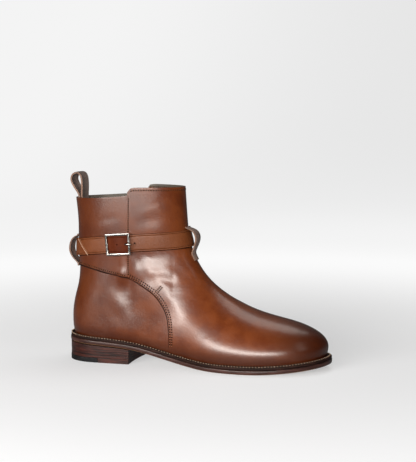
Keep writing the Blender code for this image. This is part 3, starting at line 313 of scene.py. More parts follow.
def new_material(name, roughness, coat=0.0, coat_roughness=0.15, metallic=0.0, specular=0.5):
    """A material with its shader, and the object's own coordinates."""
    made = bpy.data.materials.new(name)
    made.use_nodes = True
    tree = made.node_tree
    shader = tree.nodes["Principled BSDF"]
    shader.inputs["Roughness"].default_value = roughness
    shader.inputs["Coat Weight"].default_value = coat
    shader.inputs["Coat Roughness"].default_value = coat_roughness
    shader.inputs["Metallic"].default_value = metallic
    shader.inputs["Specular IOR Level"].default_value = specular
    place = tree.nodes.new("ShaderNodeTexCoord").outputs["Object"]
    return made, tree, shader, place


def use_group(tree, shared, place, **values):
    node = tree.nodes.new("ShaderNodeGroup")
    node.node_tree = shared
    tree.links.new(place, node.inputs["Vector"])
    for label, value in values.items():
        node.inputs[label.replace("_", " ")].default_value = value
    return node


def bump(tree, shader, height, distance, strength):
    node = tree.nodes.new("ShaderNodeBump")
    node.inputs["Distance"].default_value, node.inputs["Strength"].default_value = distance, strength
    tree.links.new(height, node.inputs["Height"])
    tree.links.new(node.outputs["Normal"], shader.inputs["Normal"])


def calf_finish(name, light, middle, dark, burnish_and_back_shade, roughness, coat, specular=0.38):
    """Calf with cloudy dye, burnished ends and a painted shade towards the back where asked, and grain."""
    made, tree, shader, place = new_material(name, roughness, coat, 0.235, specular=specular)
    grain = use_group(tree, leather_grain, place, Pore_Scale=1500.0)
    patch = spread(tree, grain.outputs["Cloud"], 0.36, 0.64)
    colour = blend(tree, patch, middle, light)
    split = tree.nodes.new("ShaderNodeSeparateXYZ")
    tree.links.new(place, split.inputs[0])
    x, z = split.outputs["X"], split.outputs["Z"]
    if burnish_and_back_shade:
        wobble = math_node(tree, "SUBTRACT", grain.outputs["Cloud"], 0.5)
        along = math_node(tree, "ADD", x, math_node(tree, "MULTIPLY", wobble, 0.05))
        toe = spread(tree, along, 0.070, 0.145, 0.0, 0.85)
        heel = spread(tree, along, -0.118, -0.150, 0.0, 0.55)
        low = spread(tree, z, 0.085, 0.060)
        heel = math_node(tree, "MULTIPLY", heel, low)
        # The welt's line rises to the heel, so the dark foot of the leather follows it.
        seat = spread(tree, x, 0.03, -0.150, 0.010, 0.033)
        foot = math_node(tree, "SUBTRACT", z, seat)
        foot = spread(tree, foot, 0.022, 0.0, 0.0, 0.80)
        # Painted shade: the calf is darkened towards the back of the boot.
        back = spread(tree, along, 0.010, -0.110, 0.0, 0.42)
        shade = math_node(tree, "MAXIMUM", math_node(tree, "MAXIMUM", toe, heel), foot)
        shade = math_node(tree, "MAXIMUM", shade, back)
        colour = blend(tree, shade, colour, dark)
    tree.links.new(colour, shader.inputs["Base Color"])
    gloss = spread(tree, grain.outputs["Cloud"], 0.3, 0.7, roughness - 0.05, roughness + 0.06)
    tree.links.new(gloss, shader.inputs["Roughness"])
    soft = math_node(tree, "MULTIPLY", noise(tree, place, 420.0, 3.0), 1.1)
    bump(tree, shader, math_node(tree, "ADD", grain.outputs["Height"], soft), 0.00020, 0.7)
    return made


calf = calf_finish(
    "chestnut_calf", (0.146, 0.033, 0.006), (0.104, 0.020, 0.003), (0.028, 0.005, 0.001),
    True, 0.37, 0.85, 0.18,
)


def plain_leather(name, light, dark, gloss, pores, deep, strength):
    """Leather of two dyes in soft clouds, with grain. The gloss is what new_material takes."""
    made, tree, shader, place = new_material(name, **gloss)
    grain = use_group(tree, leather_grain, place, Pore_Scale=pores)
    colour = blend(tree, spread(tree, grain.outputs["Cloud"], 0.35, 0.65), dark, light)
    tree.links.new(colour, shader.inputs["Base Color"])
    bump(tree, shader, grain.outputs["Height"], deep, strength)
    return made


def lining_finish(name, light, dark, roughness, specular=0.5):
    """Matt leather: the lining and bare or dyed cut edges."""
    gloss = {"roughness": roughness, "specular": specular}
    return plain_leather(name, light, dark, gloss, 1100.0, 0.00010, 0.5)


lining = lining_finish("lining_leather", (0.095, 0.078, 0.060), (0.060, 0.048, 0.036), 0.62)
edge_dye_and_shade = lining_finish("edge_dye_and_shade", (0.020, 0.007, 0.004), (0.010, 0.004, 0.002), 0.6, 0.08)
upper.data.materials.append(calf)
upper.data.materials.append(lining)
upper.data.materials.append(edge_dye_and_shade)
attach(upper, "root")
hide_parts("upper")


# Seams of the upper: one row of waxed thread up each side seam, two along the vamp's edge, one along the
# back panel's, a short bar tack of two and one row round the collar. Each stitch is a small thread lying in
# the leather, with a dark mark at the needle hole between each two: painted shade in the hole.
BACK_BEGINS = 24.0
BACK_LONG = 16.0
BACK_MIDDLE = 0.045


def on_side(x, z, side):
    """The upper's outer face at a place of the side view. Behind BACK_BEGINS it goes on round the back."""
    start = Vector((SOLE_BACK + max(x, BACK_BEGINS) / 1000, side * 0.2, z / 1000))
    hit = upper_tree.ray_cast(start, Vector((0, -side, 0)))[0]
    if hit and x < BACK_BEGINS:
        middle = Vector((SOLE_BACK + BACK_MIDDLE, SOLE_MIDDLE, z / 1000))
        begun = math.atan2(side * (hit.y - middle.y), hit.x - middle.x)
        turn = begun + (math.pi - begun) * (BACK_BEGINS - x) / BACK_LONG
        out = Vector((math.cos(turn), side * math.sin(turn), 0))
        hit = upper_tree.ray_cast(middle + out * 0.15, -out)[0]
    return hit


def lengths_along(points):
    """The length of a run of points, from its start to each of them."""
    return np.concatenate([[0], np.cumsum(np.linalg.norm(np.diff(points, axis=0), axis=1))])


def along_curve(points, step, start=0.0):
    """Even places along a curve, with the direction there."""
    points = np.asarray(points, float)
    lengths = lengths_along(points)
    places = np.arange(start, lengths[-1], step)
    read = lambda at: np.array([np.interp(at, lengths, column) for column in points.T]).T
    return read(places), read(places + step * 0.3) - read(places - step * 0.3)


def laid_on_upper(places, heads):
    """Places moved onto the upper, each with its direction and the leather's normal."""
    found = []
    for place, head in zip(places, heads):
        hit, normal, _, _ = upper_tree.find_nearest(Vector(place))
        found.append((hit, head, normal))
    return found


def side_run(curve, step, side):
    """Even places along a curve of the side view, laid on the upper."""
    dense, _ = along_curve(curve, 0.5)
    hits = [hit for hit in (on_side(x, z, side) for x, z in dense) if hit]
    return laid_on_upper(*along_curve(np.array(hits), step / 1000, step / 2000))


bpy.ops.object.select_all(action="DESELECT")
bpy.ops.mesh.primitive_uv_sphere_add(segments=6, ring_count=5, radius=0.5)
stitch_form = bpy.context.object
stitch_points = vertices(stitch_form)
stitch_points[:, 2] = np.sign(stitch_points[:, 2]) * np.abs(stitch_points[:, 2] * 2) ** 0.6 / 2
stitch_faces = [tuple(face.vertices) for face in stitch_form.data.polygons]
bpy.data.objects.remove(stitch_form)


def stitch_row(places, length, thick, sink=0.25, wide=None):
    """Copies of the stitch at places of (point, along, normal), for one mesh."""
    wide = wide or thick
    rows, faces = [], []
    for point, along, normal in places:
        along = Vector(along)
        normal = Vector(normal).normalized()
        along = (along - normal * along.dot(normal)).normalized()
        across = along.cross(normal)
        basis = np.array([across * wide, normal * thick, along * length])
        base = len(rows) * len(stitch_points)
        centre = np.array(Vector(point) + normal * thick * (0.5 - sink))
        rows.append(stitch_points @ basis + centre)
        faces += [tuple(v + base for v in face) for face in stitch_faces]
    return (np.concatenate(rows), faces) if rows else (np.zeros((0, 3)), [])


def thread_piece(name, rows, material):
    """One mesh of many stitches."""
    points, faces, start = [], [], 0
    for row_points, row_faces in rows:
        points.append(row_points)
        faces += [tuple(v + start for v in face) for face in row_faces]
        start += len(row_points)
    mesh = bpy.data.meshes.new(name)
    mesh.from_pydata([tuple(p) for p in np.concatenate(points)], [], faces)
    mesh.shade_smooth()
    made = bpy.data.objects.new(name, mesh)
    bpy.context.scene.collection.objects.link(made)
    mesh.materials.append(material)
    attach(made, "root")


THREAD_LONG = 0.0011
THREAD_THICK = 0.0007
HOLE_LONG = 0.0015
HOLE_DEEP = 0.0006
HOLE_WIDE = 0.0017
LONGEST_STEP = 0.004
rows, hole_shade_rows = [], []


def sewn(found):
    """A row of threads with a dark mark between each two: painted shade at the needle hole."""
    rows.append(stitch_row(found, THREAD_LONG, THREAD_THICK))
    between, heads = [], []
    for (here, head, _), (after, _, _) in zip(found, found[1:]):
        if (Vector(after) - Vector(here)).length < LONGEST_STEP:
            between.append((Vector(here) + Vector(after)) / 2)
            heads.append(head)
    holes = laid_on_upper(between, heads)
    hole_shade_rows.append(stitch_row(holes, HOLE_LONG, HOLE_DEEP, 0.30, HOLE_WIDE))


def offset_curve(curve, off):
    """A curve of the side view moved square to itself, to its left as it runs."""
    curve = np.asarray(curve, float)
    head = np.gradient(curve, axis=0)
    head /= np.linalg.norm(head, axis=1, keepdims=True)
    return curve + np.stack([-head[:, 1], head[:, 0]], 1) * off


def flow(points, knots, at):
    """A smooth curve through given points, read at lengths along it."""
    slopes = np.gradient(points, knots, axis=0)
    i = np.clip(np.searchsorted(knots, at) - 1, 0, len(knots) - 2)
    gap = (knots[i + 1] - knots[i])[:, None]
    share = (at - knots[i])[:, None] / gap
    left = 1 - share
    read = (1 + 2 * share) * left**2 * points[i] + share**2 * (3 - 2 * share) * points[i + 1]
    return read + gap * (share * left**2 * slopes[i] + share**2 * (share - 1) * slopes[i + 1])


def soft_curve(points, count=80):
    """A smooth curve through a few given points of the side view."""
    points = np.asarray(points, float)
    knots = lengths_along(points)
    return flow(points, knots, np.linspace(0, knots[-1], count))


# Lines of the side view in mm, as x from the sole's back edge and z from the floor.
SIDE_SEAM = (
    (78.7, 99.5), (78.5, 112.0), (78.6, 127.0), (79.1, 144.0), (79.5, 162.0), (79.8, 176.0), (80.0, 188.6),
)
VAMP_EDGE = (
    (78.5, 98.1), (87.5, 94.2), (96.7, 89.3), (109.1, 80.8), (116.7, 71.9), (121.8, 62.9),
    (124.7, 54.8), (126.2, 46.4), (127.0, 38.1), (127.1, 29.8), (126.8, 21.5),
)
BACK_EDGE = (
    (9.0, 109.2), (16.0, 108.9), (24.0, 108.2), (36.0, 106.4), (48.0, 104.0), (60.0, 101.5),
    (70.0, 99.6), (77.5, 98.3),
)
BAR_TACK = ((111.2, 80.9), (115.3, 85.8), (119.3, 90.6))
# Each row: its line, how far it is set off to the left of it, and the step from stitch to stitch.
SEAM_ROWS = (
    (soft_curve(SIDE_SEAM), -1.5, 2.4),
    (soft_curve(VAMP_EDGE), 1.5, 2.8),
    (soft_curve(VAMP_EDGE), 3.9, 2.8),
    (soft_curve(BACK_EDGE), 2.0, 2.4),
    (BAR_TACK, -1.1, 2.0),
    (BAR_TACK, 1.1, 2.0),
)
for side in (-1, 1):
    for line, off, step in SEAM_ROWS:
        sewn(side_run(offset_curve(line, off), step, side))

# Dark lengths that touch, just below the lapped panels' edges: the dark edge dressing, and painted shadow
# under each step.
EDGE_STEP = 1.5
EDGE_LONG = 0.0030
EDGE_THICK = 0.0006
edge_shade_rows = []
for side in (-1, 1):
    for curve, off, wide in ((VAMP_EDGE, -0.40, 0.0012), (BACK_EDGE, -0.45, 0.0018)):
        found = side_run(offset_curve(soft_curve(curve), off), EDGE_STEP, side)
        edge_shade_rows.append(stitch_row(found, EDGE_LONG, EDGE_THICK, 0.30, wide))

COLLAR_MIDDLE = Vector((-0.0675, SOLE_MIDDLE, 0))
COLLAR_OUTSIDE = 0.12
COLLAR_STEP = 0.0028


def round_collar(low, count=150):
    """Points round the outside of the collar, a little below its top edge."""
    found = []
    for turn in np.linspace(0, 2 * math.pi, count, endpoint=False):
        out = Vector((math.cos(turn), math.sin(turn), 0))
        start = COLLAR_MIDDLE + out * COLLAR_OUTSIDE
        for z in np.arange(0.1995, 0.180, -0.0005):
            hit, normal, _, _ = upper_tree.ray_cast(start + Vector((0, 0, z)), -out)
            if hit and (hit - COLLAR_MIDDLE).to_2d().length > 0.02 and normal.dot(out) > 0.4:
                found.append(np.array(upper_tree.ray_cast(start + Vector((0, 0, z - low)), -out)[0]))
                break
    return np.array(found + found[:1])


sewn(laid_on_upper(*along_curve(round_collar(0.0027), COLLAR_STEP)))


def thread_finish(name, light, dark, specular=0.3):
    made, tree, shader, place = new_material(name, 0.55, specular=specular)
    fleck = noise(tree, place, 900.0, 2.0)
    colour = blend(tree, spread(tree, fleck, 0.4, 0.6), dark, light)
    tree.links.new(colour, shader.inputs["Base Color"])
    twist = noise(tree, place, 3500.0, 2.0)
    bump(tree, shader, twist, 0.0001, 0.5)
    return made


brown_thread = thread_finish("brown_thread", (0.300, 0.120, 0.055), (0.200, 0.070, 0.030))
thread_piece("upper_stitches", rows, brown_thread)
# Near-black painted shade: in the needle holes, in the strap's holes and in the line under the strap.
painted_shade = thread_finish("painted_shade", (0.008, 0.003, 0.002), (0.004, 0.002, 0.001), 0.03)
thread_piece("stitch_hole_shades", hole_shade_rows, painted_shade)
thread_piece("lapped_edge_shade", edge_shade_rows, edge_dye_and_shade)


# Insole: the footbed of lining leather, pressed smooth by the last.
insole = copy_of("insole", "insole_sock")
round_edges(insole, 0.0009, 2, 50)
smooth_skin(insole, 1)
insole.data.materials.append(lining)
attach(insole, "root")
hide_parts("insole")


# Sole: a leather welt stitched all round, the outsole and three lifts, all with dark dressed edges, and
# a top piece half of rubber, half of leather.
layer_lines, lines_in, lines_out = group(
    "leather_layers",
    (("Vector", "NodeSocketVector", None), ("Layer Scale", "NodeSocketFloat", 900.0)),
    (("Lines", "NodeSocketFloat"), ("Cloud", "NodeSocketFloat")),
)
flatten = layer_lines.nodes.new("ShaderNodeVectorMath")
flatten.operation = "MULTIPLY"
flatten.inputs[1].default_value = (0.05, 0.05, 1.0)
layer_lines.links.new(lines_in.outputs["Vector"], flatten.inputs[0])
lines = noise(layer_lines, flatten.outputs[0], lines_in.outputs["Layer Scale"], 4.0, 0.6)
layer_lines.links.new(lines, lines_out.inputs["Lines"])
cloud = noise(layer_lines, lines_in.outputs["Vector"], 60.0, 4.0)
layer_lines.links.new(cloud, lines_out.inputs["Cloud"])


def edge_finish(name, light, dark, roughness, coat=0.25, specular=0.3):
    """Dyed and waxed leather edges, with the lines of the layers."""
    made, tree, shader, place = new_material(name, roughness, coat, 0.25, specular=specular)
    layers = use_group(tree, layer_lines, place, Layer_Scale=1000.0)
    share = spread(tree, layers.outputs["Lines"], 0.38, 0.62)
    colour = blend(tree, share, dark, light)
    colour = blend(tree, spread(tree, layers.outputs["Cloud"], 0.4, 0.7, 0.0, 0.5), colour, dark)
    tree.links.new(colour, shader.inputs["Base Color"])
    bump(tree, shader, layers.outputs["Lines"], 0.0002, 0.6)
    return made


edge_leather = edge_finish("dressed_edge", (0.060, 0.014, 0.009), (0.011, 0.0040, 0.0035), 0.36, 0.12)
sole_face = lining_finish("sole_leather_face", (0.31, 0.17, 0.085), (0.22, 0.11, 0.05), 0.5)
welt_leather = edge_finish("welt_leather", (0.030, 0.013, 0.010), (0.010, 0.005, 0.004), 0.55, 0.0, 0.08)


def sole_piece(node, name, edge_round, materials):
    """A part of the sole with its edges rounded; faces that look down take the second material."""
    made = copy_of(node, name)
    round_edges(made, edge_round, 2, 50)
    smooth_skin(made, 1)
    for material in materials:
        made.data.materials.append(material)
    for face in made.data.polygons:
        face.material_index = 1 if len(materials) > 1 and face.normal.z < -0.75 else 0
    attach(made, "root")
    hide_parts(node)


sole_edge = edge_finish("sole_edge_leather", (0.066, 0.026, 0.020), (0.026, 0.010, 0.008), 0.36, 0.12)
sole_piece("outsole", "outsole_leather", 0.0006, (sole_edge, sole_face))
for lift in (1, 2, 3):
    sole_piece("heel_lift_%d" % lift, "lift_%d" % lift, 0.00035, (edge_leather,))
sole_piece("top_piece_leather", "top_piece_front", 0.0005, (edge_leather, sole_face))

rubber, tree, shader, place = new_material("top_piece_rubber", 0.62, specular=0.15)
dust = spread(tree, noise(tree, place, 250.0, 4.0), 0.35, 0.75)
colour = blend(tree, dust, (0.006, 0.006, 0.007), (0.017, 0.017, 0.018))
tree.links.new(colour, shader.inputs["Base Color"])
bump(tree, shader, noise(tree, place, 2200.0, 3.0), 0.00015, 0.6)
sole_piece("top_piece_rubber", "top_piece_back", 0.0005, (rubber,))

welt = copy_of("welt", "welt_strip")
rim = {}
for face in welt.data.polygons:
    centre = face.center
    away = Vector((centre.x, centre.y - SOLE_MIDDLE, 0))
    if abs(face.normal.z) < 0.3 and face.normal.dot(away) > 0:
        for index in face.vertices:
            rim[index] = welt.data.vertices[index].co.copy()
round_edges(welt, 0.0007, 2, 50)
smooth_skin(welt, 1)
welt.data.materials.append(welt_leather)
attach(welt, "root")
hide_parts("welt")

# The welt's stitches run inside its top edge, nearer to it round the heel than at the forefoot.
WELT_STEP = 0.0034
WELT_STITCH_LONG = 0.0016
WELT_STITCH_THICK = 0.0012
HEEL_MARGIN = 0.0011
FOREFOOT_MARGIN = 0.0021
SOLE_LONG = 0.303
rim_points = np.array([tuple(p) for p in rim.values()])
order = np.argsort(np.arctan2(rim_points[:, 1] - SOLE_MIDDLE, rim_points[:, 0]))
rim_points = rim_points[order]
top_rim = []
for i, point in enumerate(rim_points):
    near = np.hypot(*(rim_points[:, :2] - point[:2]).T) < 0.0003
    if point[2] >= rim_points[near][:, 2].max() - 1e-6:
        top_rim.append(point)
top_rim = np.array(top_rim + top_rim[:1])
places, heads = along_curve(top_rim, WELT_STEP)
welt_stitches = []
for point, head in zip(places, heads):
    inward = Vector((-head[1], head[0], 0)).normalized()
    share = min(max((point[0] - SOLE_BACK) / SOLE_LONG, 0), 1)
    growth = min(max((share - 0.2) / 0.3, 0), 1)
    margin = HEEL_MARGIN + (FOREFOOT_MARGIN - HEEL_MARGIN) * growth
    welt_stitches.append((Vector(point) + inward * margin, head, (0, 0, 1)))
flax = thread_finish("flax_thread", (0.34, 0.25, 0.18), (0.18, 0.12, 0.085))
welt_row = stitch_row(welt_stitches, WELT_STITCH_LONG, WELT_STITCH_THICK, 0.2)
thread_piece("welt_stitches", [welt_row], flax)


# Strap: one long strap of the same calf, folded round the buckle's bar, round the ankle and over its own
# start. It is made flat, with a crease line inside each edge, and wrapped round the shaft.
STRAP_WIDTH = 0.019
STRAP_THICK = 0.002
OVER_PANELS = 0.0017
LINING_WALL = 0.0016
BAR_ALONG = 70.5
STRAP_LINE = (
    (9.0, 127.3), (30.0, 131.2), (56.0, 134.9), (84.0, 137.2), (108.0, 138.7), (126.0, 139.7), (141.0, 140.8),
)
line_fit = np.polyfit([p[0] for p in STRAP_LINE], [p[1] for p in STRAP_LINE], 3)


def strap_ring(offset, count=360):
    """The skin's line round the shaft at the strap's height plus an offset, from the back seam."""
    found = []
    for turn in np.linspace(0, 2 * math.pi, count, endpoint=False):
        out = Vector((-math.cos(turn), -math.sin(turn), 0))
        z = 0.135
        for _ in range(4):
            hit = upper_tree.ray_cast(Vector((-0.068, SOLE_MIDDLE, z)), out)[0]
            z = np.polyval(line_fit, (hit.x - SOLE_BACK) * 1000) / 1000 + offset
        found.append(np.array(hit) + np.array(out) * LINING_WALL)
    found = np.array(found)
    for _ in range(12):
        found = (np.roll(found, 1, 0) + found * 2 + np.roll(found, -1, 0)) / 4
    return found


low_ring, high_ring, track = strap_ring(-STRAP_WIDTH / 2), strap_ring(STRAP_WIDTH / 2), strap_ring(0)
track_along = np.roll(track, -1, 0) - np.roll(track, 1, 0)
track_along /= np.linalg.norm(track_along, axis=1, keepdims=True)


def square_points(edge):
    """Where an edge of the strap's band passes each point of its middle line."""
    found = np.empty_like(track)
    window = np.arange(-30, 31)
    for i in range(len(track)):
        near = edge[(i + window) % len(edge)]
        ahead = (near - track[i]) @ track_along[i]
        found[i] = [np.interp(0.0, ahead, near[:, k]) for k in range(3)]
    return found


low_ring, high_ring = square_points(low_ring), square_points(high_ring)
track_up = high_ring - low_ring
track_up /= np.linalg.norm(track_up, axis=1, keepdims=True)
track_out = np.cross(track_along, track_up)
track_out /= np.linalg.norm(track_out, axis=1, keepdims=True)
chord = (low_ring + high_ring) / 2
bulge = np.maximum(np.sum((track - chord) * track_out, 1), 0)
track = chord + track_out * bulge[:, None]
closed = lambda table: np.concatenate([table, table[:1]])
track, track_up, track_out = closed(track), closed(track_up), closed(track_out)
raised = track + track_out * OVER_PANELS
track_length = lengths_along(raised)
ROUND = track_length[-1]
half = len(track) // 2
BAR_AT = float(np.interp(SOLE_BACK + BAR_ALONG / 1000, track[:half, 0], track_length[:half]))


def wrap(flat):
    """Points made flat (length from the bar, across, stand over the panels), laid round the shaft."""
    flat = np.asarray(flat, float)
    at = np.mod(flat[:, 0] + BAR_AT, ROUND)
    read = lambda table: np.stack([np.interp(at, track_length, table[:, i]) for i in range(3)], 1)
    stand = flat[:, 2] + 0.0009 * (0.5 - flat[:, 1] / STRAP_WIDTH) + OVER_PANELS
    return read(track) + read(track_out) * stand[:, None] + read(track_up) * flat[:, 1:2]


# Length from the bar, height of the strap's middle and thickness, all in shares of its thickness.
FOLD = (
    (-3.50, 1.35, 0.50), (-2.50, 1.45, 0.50), (-1.30, 2.02, 0.50), (0.00, 2.27, 0.50), (0.68, 1.98, 0.50),
    (0.97, 1.30, 0.50), (0.68, 0.62, 0.50), (0.00, 0.33, 0.50), (-2.00, 0.35, 0.50), (-4.50, 0.50, 1.00),
)
OVER_BAR = (
    (15.00, 0.50, 1.00), (11.00, 0.50, 1.00), (8.50, 0.80, 1.00), (6.25, 1.58, 1.00), (5.00, 2.20, 1.00),
    (3.75, 2.80, 1.00), (2.50, 3.15, 1.00), (1.25, 3.30, 1.00), (0.00, 3.35, 1.00), (-1.30, 3.15, 1.00),
    (-2.50, 2.65, 1.00), (-3.75, 2.20, 1.00), (-5.00, 1.88, 1.00), (-6.25, 1.70, 1.00), (-8.50, 1.65, 1.00),
    (-11.00, 1.65, 1.00),
)
# The strap's section: place across in mm from its edge, and height over its face in mm.
SECTION = (
    (0.00, -0.35), (0.12, -0.12), (0.40, 0.02), (0.90, 0.07), (1.40, 0.00), (1.62, -0.22), (1.75, -0.30),
    (1.88, -0.22), (2.10, 0.00), (2.80, 0.06), (5.00, 0.14), (9.50, 0.20),
)
FREE_END = 27.5
SLANT = 0.0125
END_SLOPE = SLANT / STRAP_WIDTH
stations = [tuple(STRAP_THICK * v for v in row) for row in FOLD]
first, last = stations[-1][0] - 0.005, OVER_BAR[0][0] * STRAP_THICK - ROUND + 0.005
stations += [(first + (last - first) * i / 40, STRAP_THICK / 2, STRAP_THICK) for i in range(41)]
over = [tuple(STRAP_THICK * v for v in row) for row in OVER_BAR]
stations += [(row[0] - ROUND, row[1], row[2]) for row in over]
free_end = float(np.interp(SOLE_BACK + FREE_END / 1000, track[:half, 0], track_length[:half])) - BAR_AT
tail_from, tail_to = over[-1][0], free_end + SLANT / 2 + 0.0015
for i in (1, 2, 3, 4):
    stations.append((tail_from + (tail_to - tail_from) * i / 4 - ROUND, over[-1][1], STRAP_THICK))
stations += [(free_end - ROUND, over[-1][1], STRAP_THICK)]
stations = np.array(stations)
knots = lengths_along(stations[:, :2])
fine_knots = np.unique(np.concatenate([knots, np.arange(0, knots[-1], 0.0016)]))
fine_rows = flow(stations, knots, fine_knots)

across = [(-9.5 + a, h, 1) for a, h in SECTION] + [(9.5 - a, h, 1) for a, h in SECTION[-2::-1]]
across += [(9.5, -0.65, -1), (9.2, -1.0, -1), (0.0, -1.0, -1), (-9.2, -1.0, -1), (-9.5, -0.65, -1)]
bpy.ops.object.select_all(action="DESELECT")
bpy.ops.mesh.primitive_grid_add(x_subdivisions=len(fine_rows) - 1, y_subdivisions=len(across), size=2)
strap = bpy.context.object
strap.name = strap.data.name = "wrap_strap"
grid = vertices(strap)
row_of = np.rint((grid[:, 0] + 1) / 2 * (len(fine_rows) - 1)).astype(int)
place_of = np.rint((grid[:, 1] + 1) / 2 * len(across)).astype(int) % len(across)
heads = np.gradient(fine_rows[:, :2], axis=0)
heads /= np.linalg.norm(heads, axis=1, keepdims=True)
flat = np.zeros((len(grid), 3))
for i, (row, spot_across) in enumerate(zip(row_of, place_of)):
    length, stand, thick = fine_rows[row]
    y, lift, face_side = across[spot_across]
    if face_side > 0:
        height = thick / 2 + lift / 1000 * min(thick / STRAP_THICK, 1)
    else:
        height = -thick / 2 + (lift + 1.0) / 1000
    slant = END_SLOPE if row == len(fine_rows) - 1 else 0.0
    # The strap runs towards the back, so its outer face is to the left of its heading.
    outward = np.array([-heads[row][1], heads[row][0]]) * -1
    flat[i] = (length + outward[0] * height - slant * y / 1000, y / 1000, stand + outward[1] * height)
put_vertices(strap, wrap(flat))
edit(strap, "VERT")
choose("SELECT")
bpy.ops.mesh.remove_doubles(threshold=1e-6)
choose("DESELECT")
bpy.ops.mesh.select_non_manifold()
bpy.ops.mesh.edge_face_add()
choose("SELECT")
bpy.ops.mesh.normals_make_consistent(inside=False)
done()
# The ends are bare leather and the sides are dyed dark; the crease lines take the same dark colour.
# Places across are in mm from the strap's middle.
END_FACE_CORNERS = 12
SIDE_BEGINS = 9.1
CREASE_LINE = (7.55, 7.95)
corner_at = KDTree(len(flat))
for i, point in enumerate(wrap(flat)):
    corner_at.insert(Vector(point), i)
corner_at.balance()
for face in strap.data.polygons:
    if len(face.vertices) > END_FACE_CORNERS:
        face.material_index = 1
        continue
    corners = [place_of[corner_at.find(strap.data.vertices[i].co)[1]] for i in face.vertices]
    depths = [abs(across[corner][0]) for corner in corners]
    creased = min(depths) > CREASE_LINE[0] and max(depths) < CREASE_LINE[1]
    face.material_index = 2 if min(depths) > SIDE_BEGINS or creased else 0


def punch(piece, length, low, high, radius):
    """A round hole through the strap."""
    bpy.ops.object.select_all(action="DESELECT")
    middle = (length, 0, (low + high) / 2)
    bpy.ops.mesh.primitive_cylinder_add(vertices=20, radius=radius, depth=high - low, location=middle)
    cutter = bpy.context.object
    bpy.ops.object.transform_apply(location=True, rotation=True, scale=True)
    put_vertices(cutter, wrap(vertices(cutter)))
    hole = piece.modifiers.new("hole", "BOOLEAN")
    hole.operation, hole.solver, hole.object = "DIFFERENCE", "EXACT", cutter
    bpy.context.view_layer.objects.active = piece
    bpy.ops.object.modifier_apply(modifier="hole")
    bpy.data.objects.remove(cutter)


# The prong comes up through the hole at 9 mm. The others are spare, over the bar and past the frame.
punch(strap, 0.0, 0.0053, 0.0100, 0.0008)
punch(strap, 0.0180, -0.0003, 0.0045, 0.0011)
punch(strap, 0.0090, 0.0008, 0.0090, 0.0012)
edit(strap, "VERT")
choose("SELECT")
bpy.ops.mesh.dissolve_degenerate(threshold=0.00003)
choose("DESELECT")
bpy.ops.mesh.select_face_by_sides(number=4, type="GREATER")
bpy.ops.mesh.quads_convert_to_tris(quad_method="BEAUTY", ngon_method="BEAUTY")
choose("SELECT")
bpy.ops.mesh.dissolve_degenerate(threshold=0.00002)
done()
strap.data.shade_smooth()
pick(strap)
bpy.ops.object.shade_smooth_by_angle(angle=math.radians(42))
strap_calf = calf_finish(
    "strap_calf", (0.146, 0.042, 0.012), (0.112, 0.029, 0.007), (0.03, 0.006, 0.002),
    False, 0.42, 0.15, 0.25,
)
# Inside the frame the strap is darker and duller, as in the photo.
# This darker, duller copy is painted shade: the frame's shadow on the strap.
shaded_calf = calf_finish(
    "strap_in_buckle", (0.088, 0.017, 0.004), (0.062, 0.011, 0.003), (0.02, 0.004, 0.001),
    False, 0.6, 0.0, 0.10,
)
# Pale bare leather for the strap's end faces; on the end bead this pale colour is a painted highlight.
strap_end = lining_finish("strap_end", (0.52, 0.34, 0.24), (0.38, 0.23, 0.15), 0.6)
for material in (strap_calf, strap_end, edge_dye_and_shade, shaded_calf):
    strap.data.materials.append(material)
# The strap's outer faces within the frame, on the buckle's side, take the painted shade.
SHADED_HALF = 0.0122
for face in strap.data.polygons:
    from_bar = abs(face.center.x - (SOLE_BACK + BAR_ALONG / 1000))
    if face.material_index == 0 and face.center.y < 0 and from_bar < SHADED_HALF:
        face.material_index = 3


def strap_place(length, y, stand, slope=0.0):
    """A place on the wrapped strap, with its direction across the strap and its normal."""
    here = np.array([length, y, stand])
    ahead = here + np.array([-slope * 0.001, 0.001, 0])
    place_on, after, above = wrap([here, ahead, here + np.array([0, 0, 0.001])])
    return place_on, after - place_on, above - place_on


def end_row(inset, reach_across, step, above):
    """Even places along the slanted free end, set in from it and standing over the strap's middle."""
    return [
        strap_place(free_end + inset - END_SLOPE * y, y, over[-1][1] + above, END_SLOPE)
        for y in np.arange(-reach_across, reach_across + 0.0001, step)
    ]


# A pale bead at the free end, a painted highlight where light catches its edge, and the pale stitches beside
# it.
end_highlight_bead = stitch_row(end_row(0.0003, 0.0093, 0.0011, 0.00095), 0.0022, 0.0007, 0.3, 0.0009)
thread_piece("strap_end_highlight", [end_highlight_bead], strap_end)
# Painted shade: dark discs inside the strap's holes at 9 mm and 18 mm from the bar.
hole_places = [strap_place(0.0090, 0.0, 0.0056), strap_place(0.0180, 0.0, 0.0021)]
hole_shade_discs = stitch_row(hole_places, 0.0021, 0.0008, 0.5, 0.0021)
thread_piece("strap_hole_shade", [hole_shade_discs], painted_shade)
# A painted shadow: a dark line on the calf just under the strap's lower edge.
SHADOW_LOW = -0.0100
SHADOW_STEP = 0.0016
shadow_places, shadow_ahead = (
    wrap([(length + more, SHADOW_LOW, -OVER_PANELS) for length in np.arange(0, ROUND, SHADOW_STEP)])
    for more in (0.0, 0.001)
)
shadow_line = stitch_row(laid_on_upper(shadow_places, shadow_ahead - shadow_places), 0.0032, 0.0006, 0.3, 0.0013)
thread_piece("strap_shadow_line", [shadow_line], painted_shade)
pale_thread = thread_finish("pale_thread", (0.42, 0.28, 0.19), (0.26, 0.16, 0.10))
end_stitches = stitch_row(end_row(0.0024, 0.0078, 0.0019, 0.00107), 0.0013, 0.0005)
thread_piece("strap_stitches", [end_stitches], pale_thread)
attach(strap, "root")
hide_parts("strap")


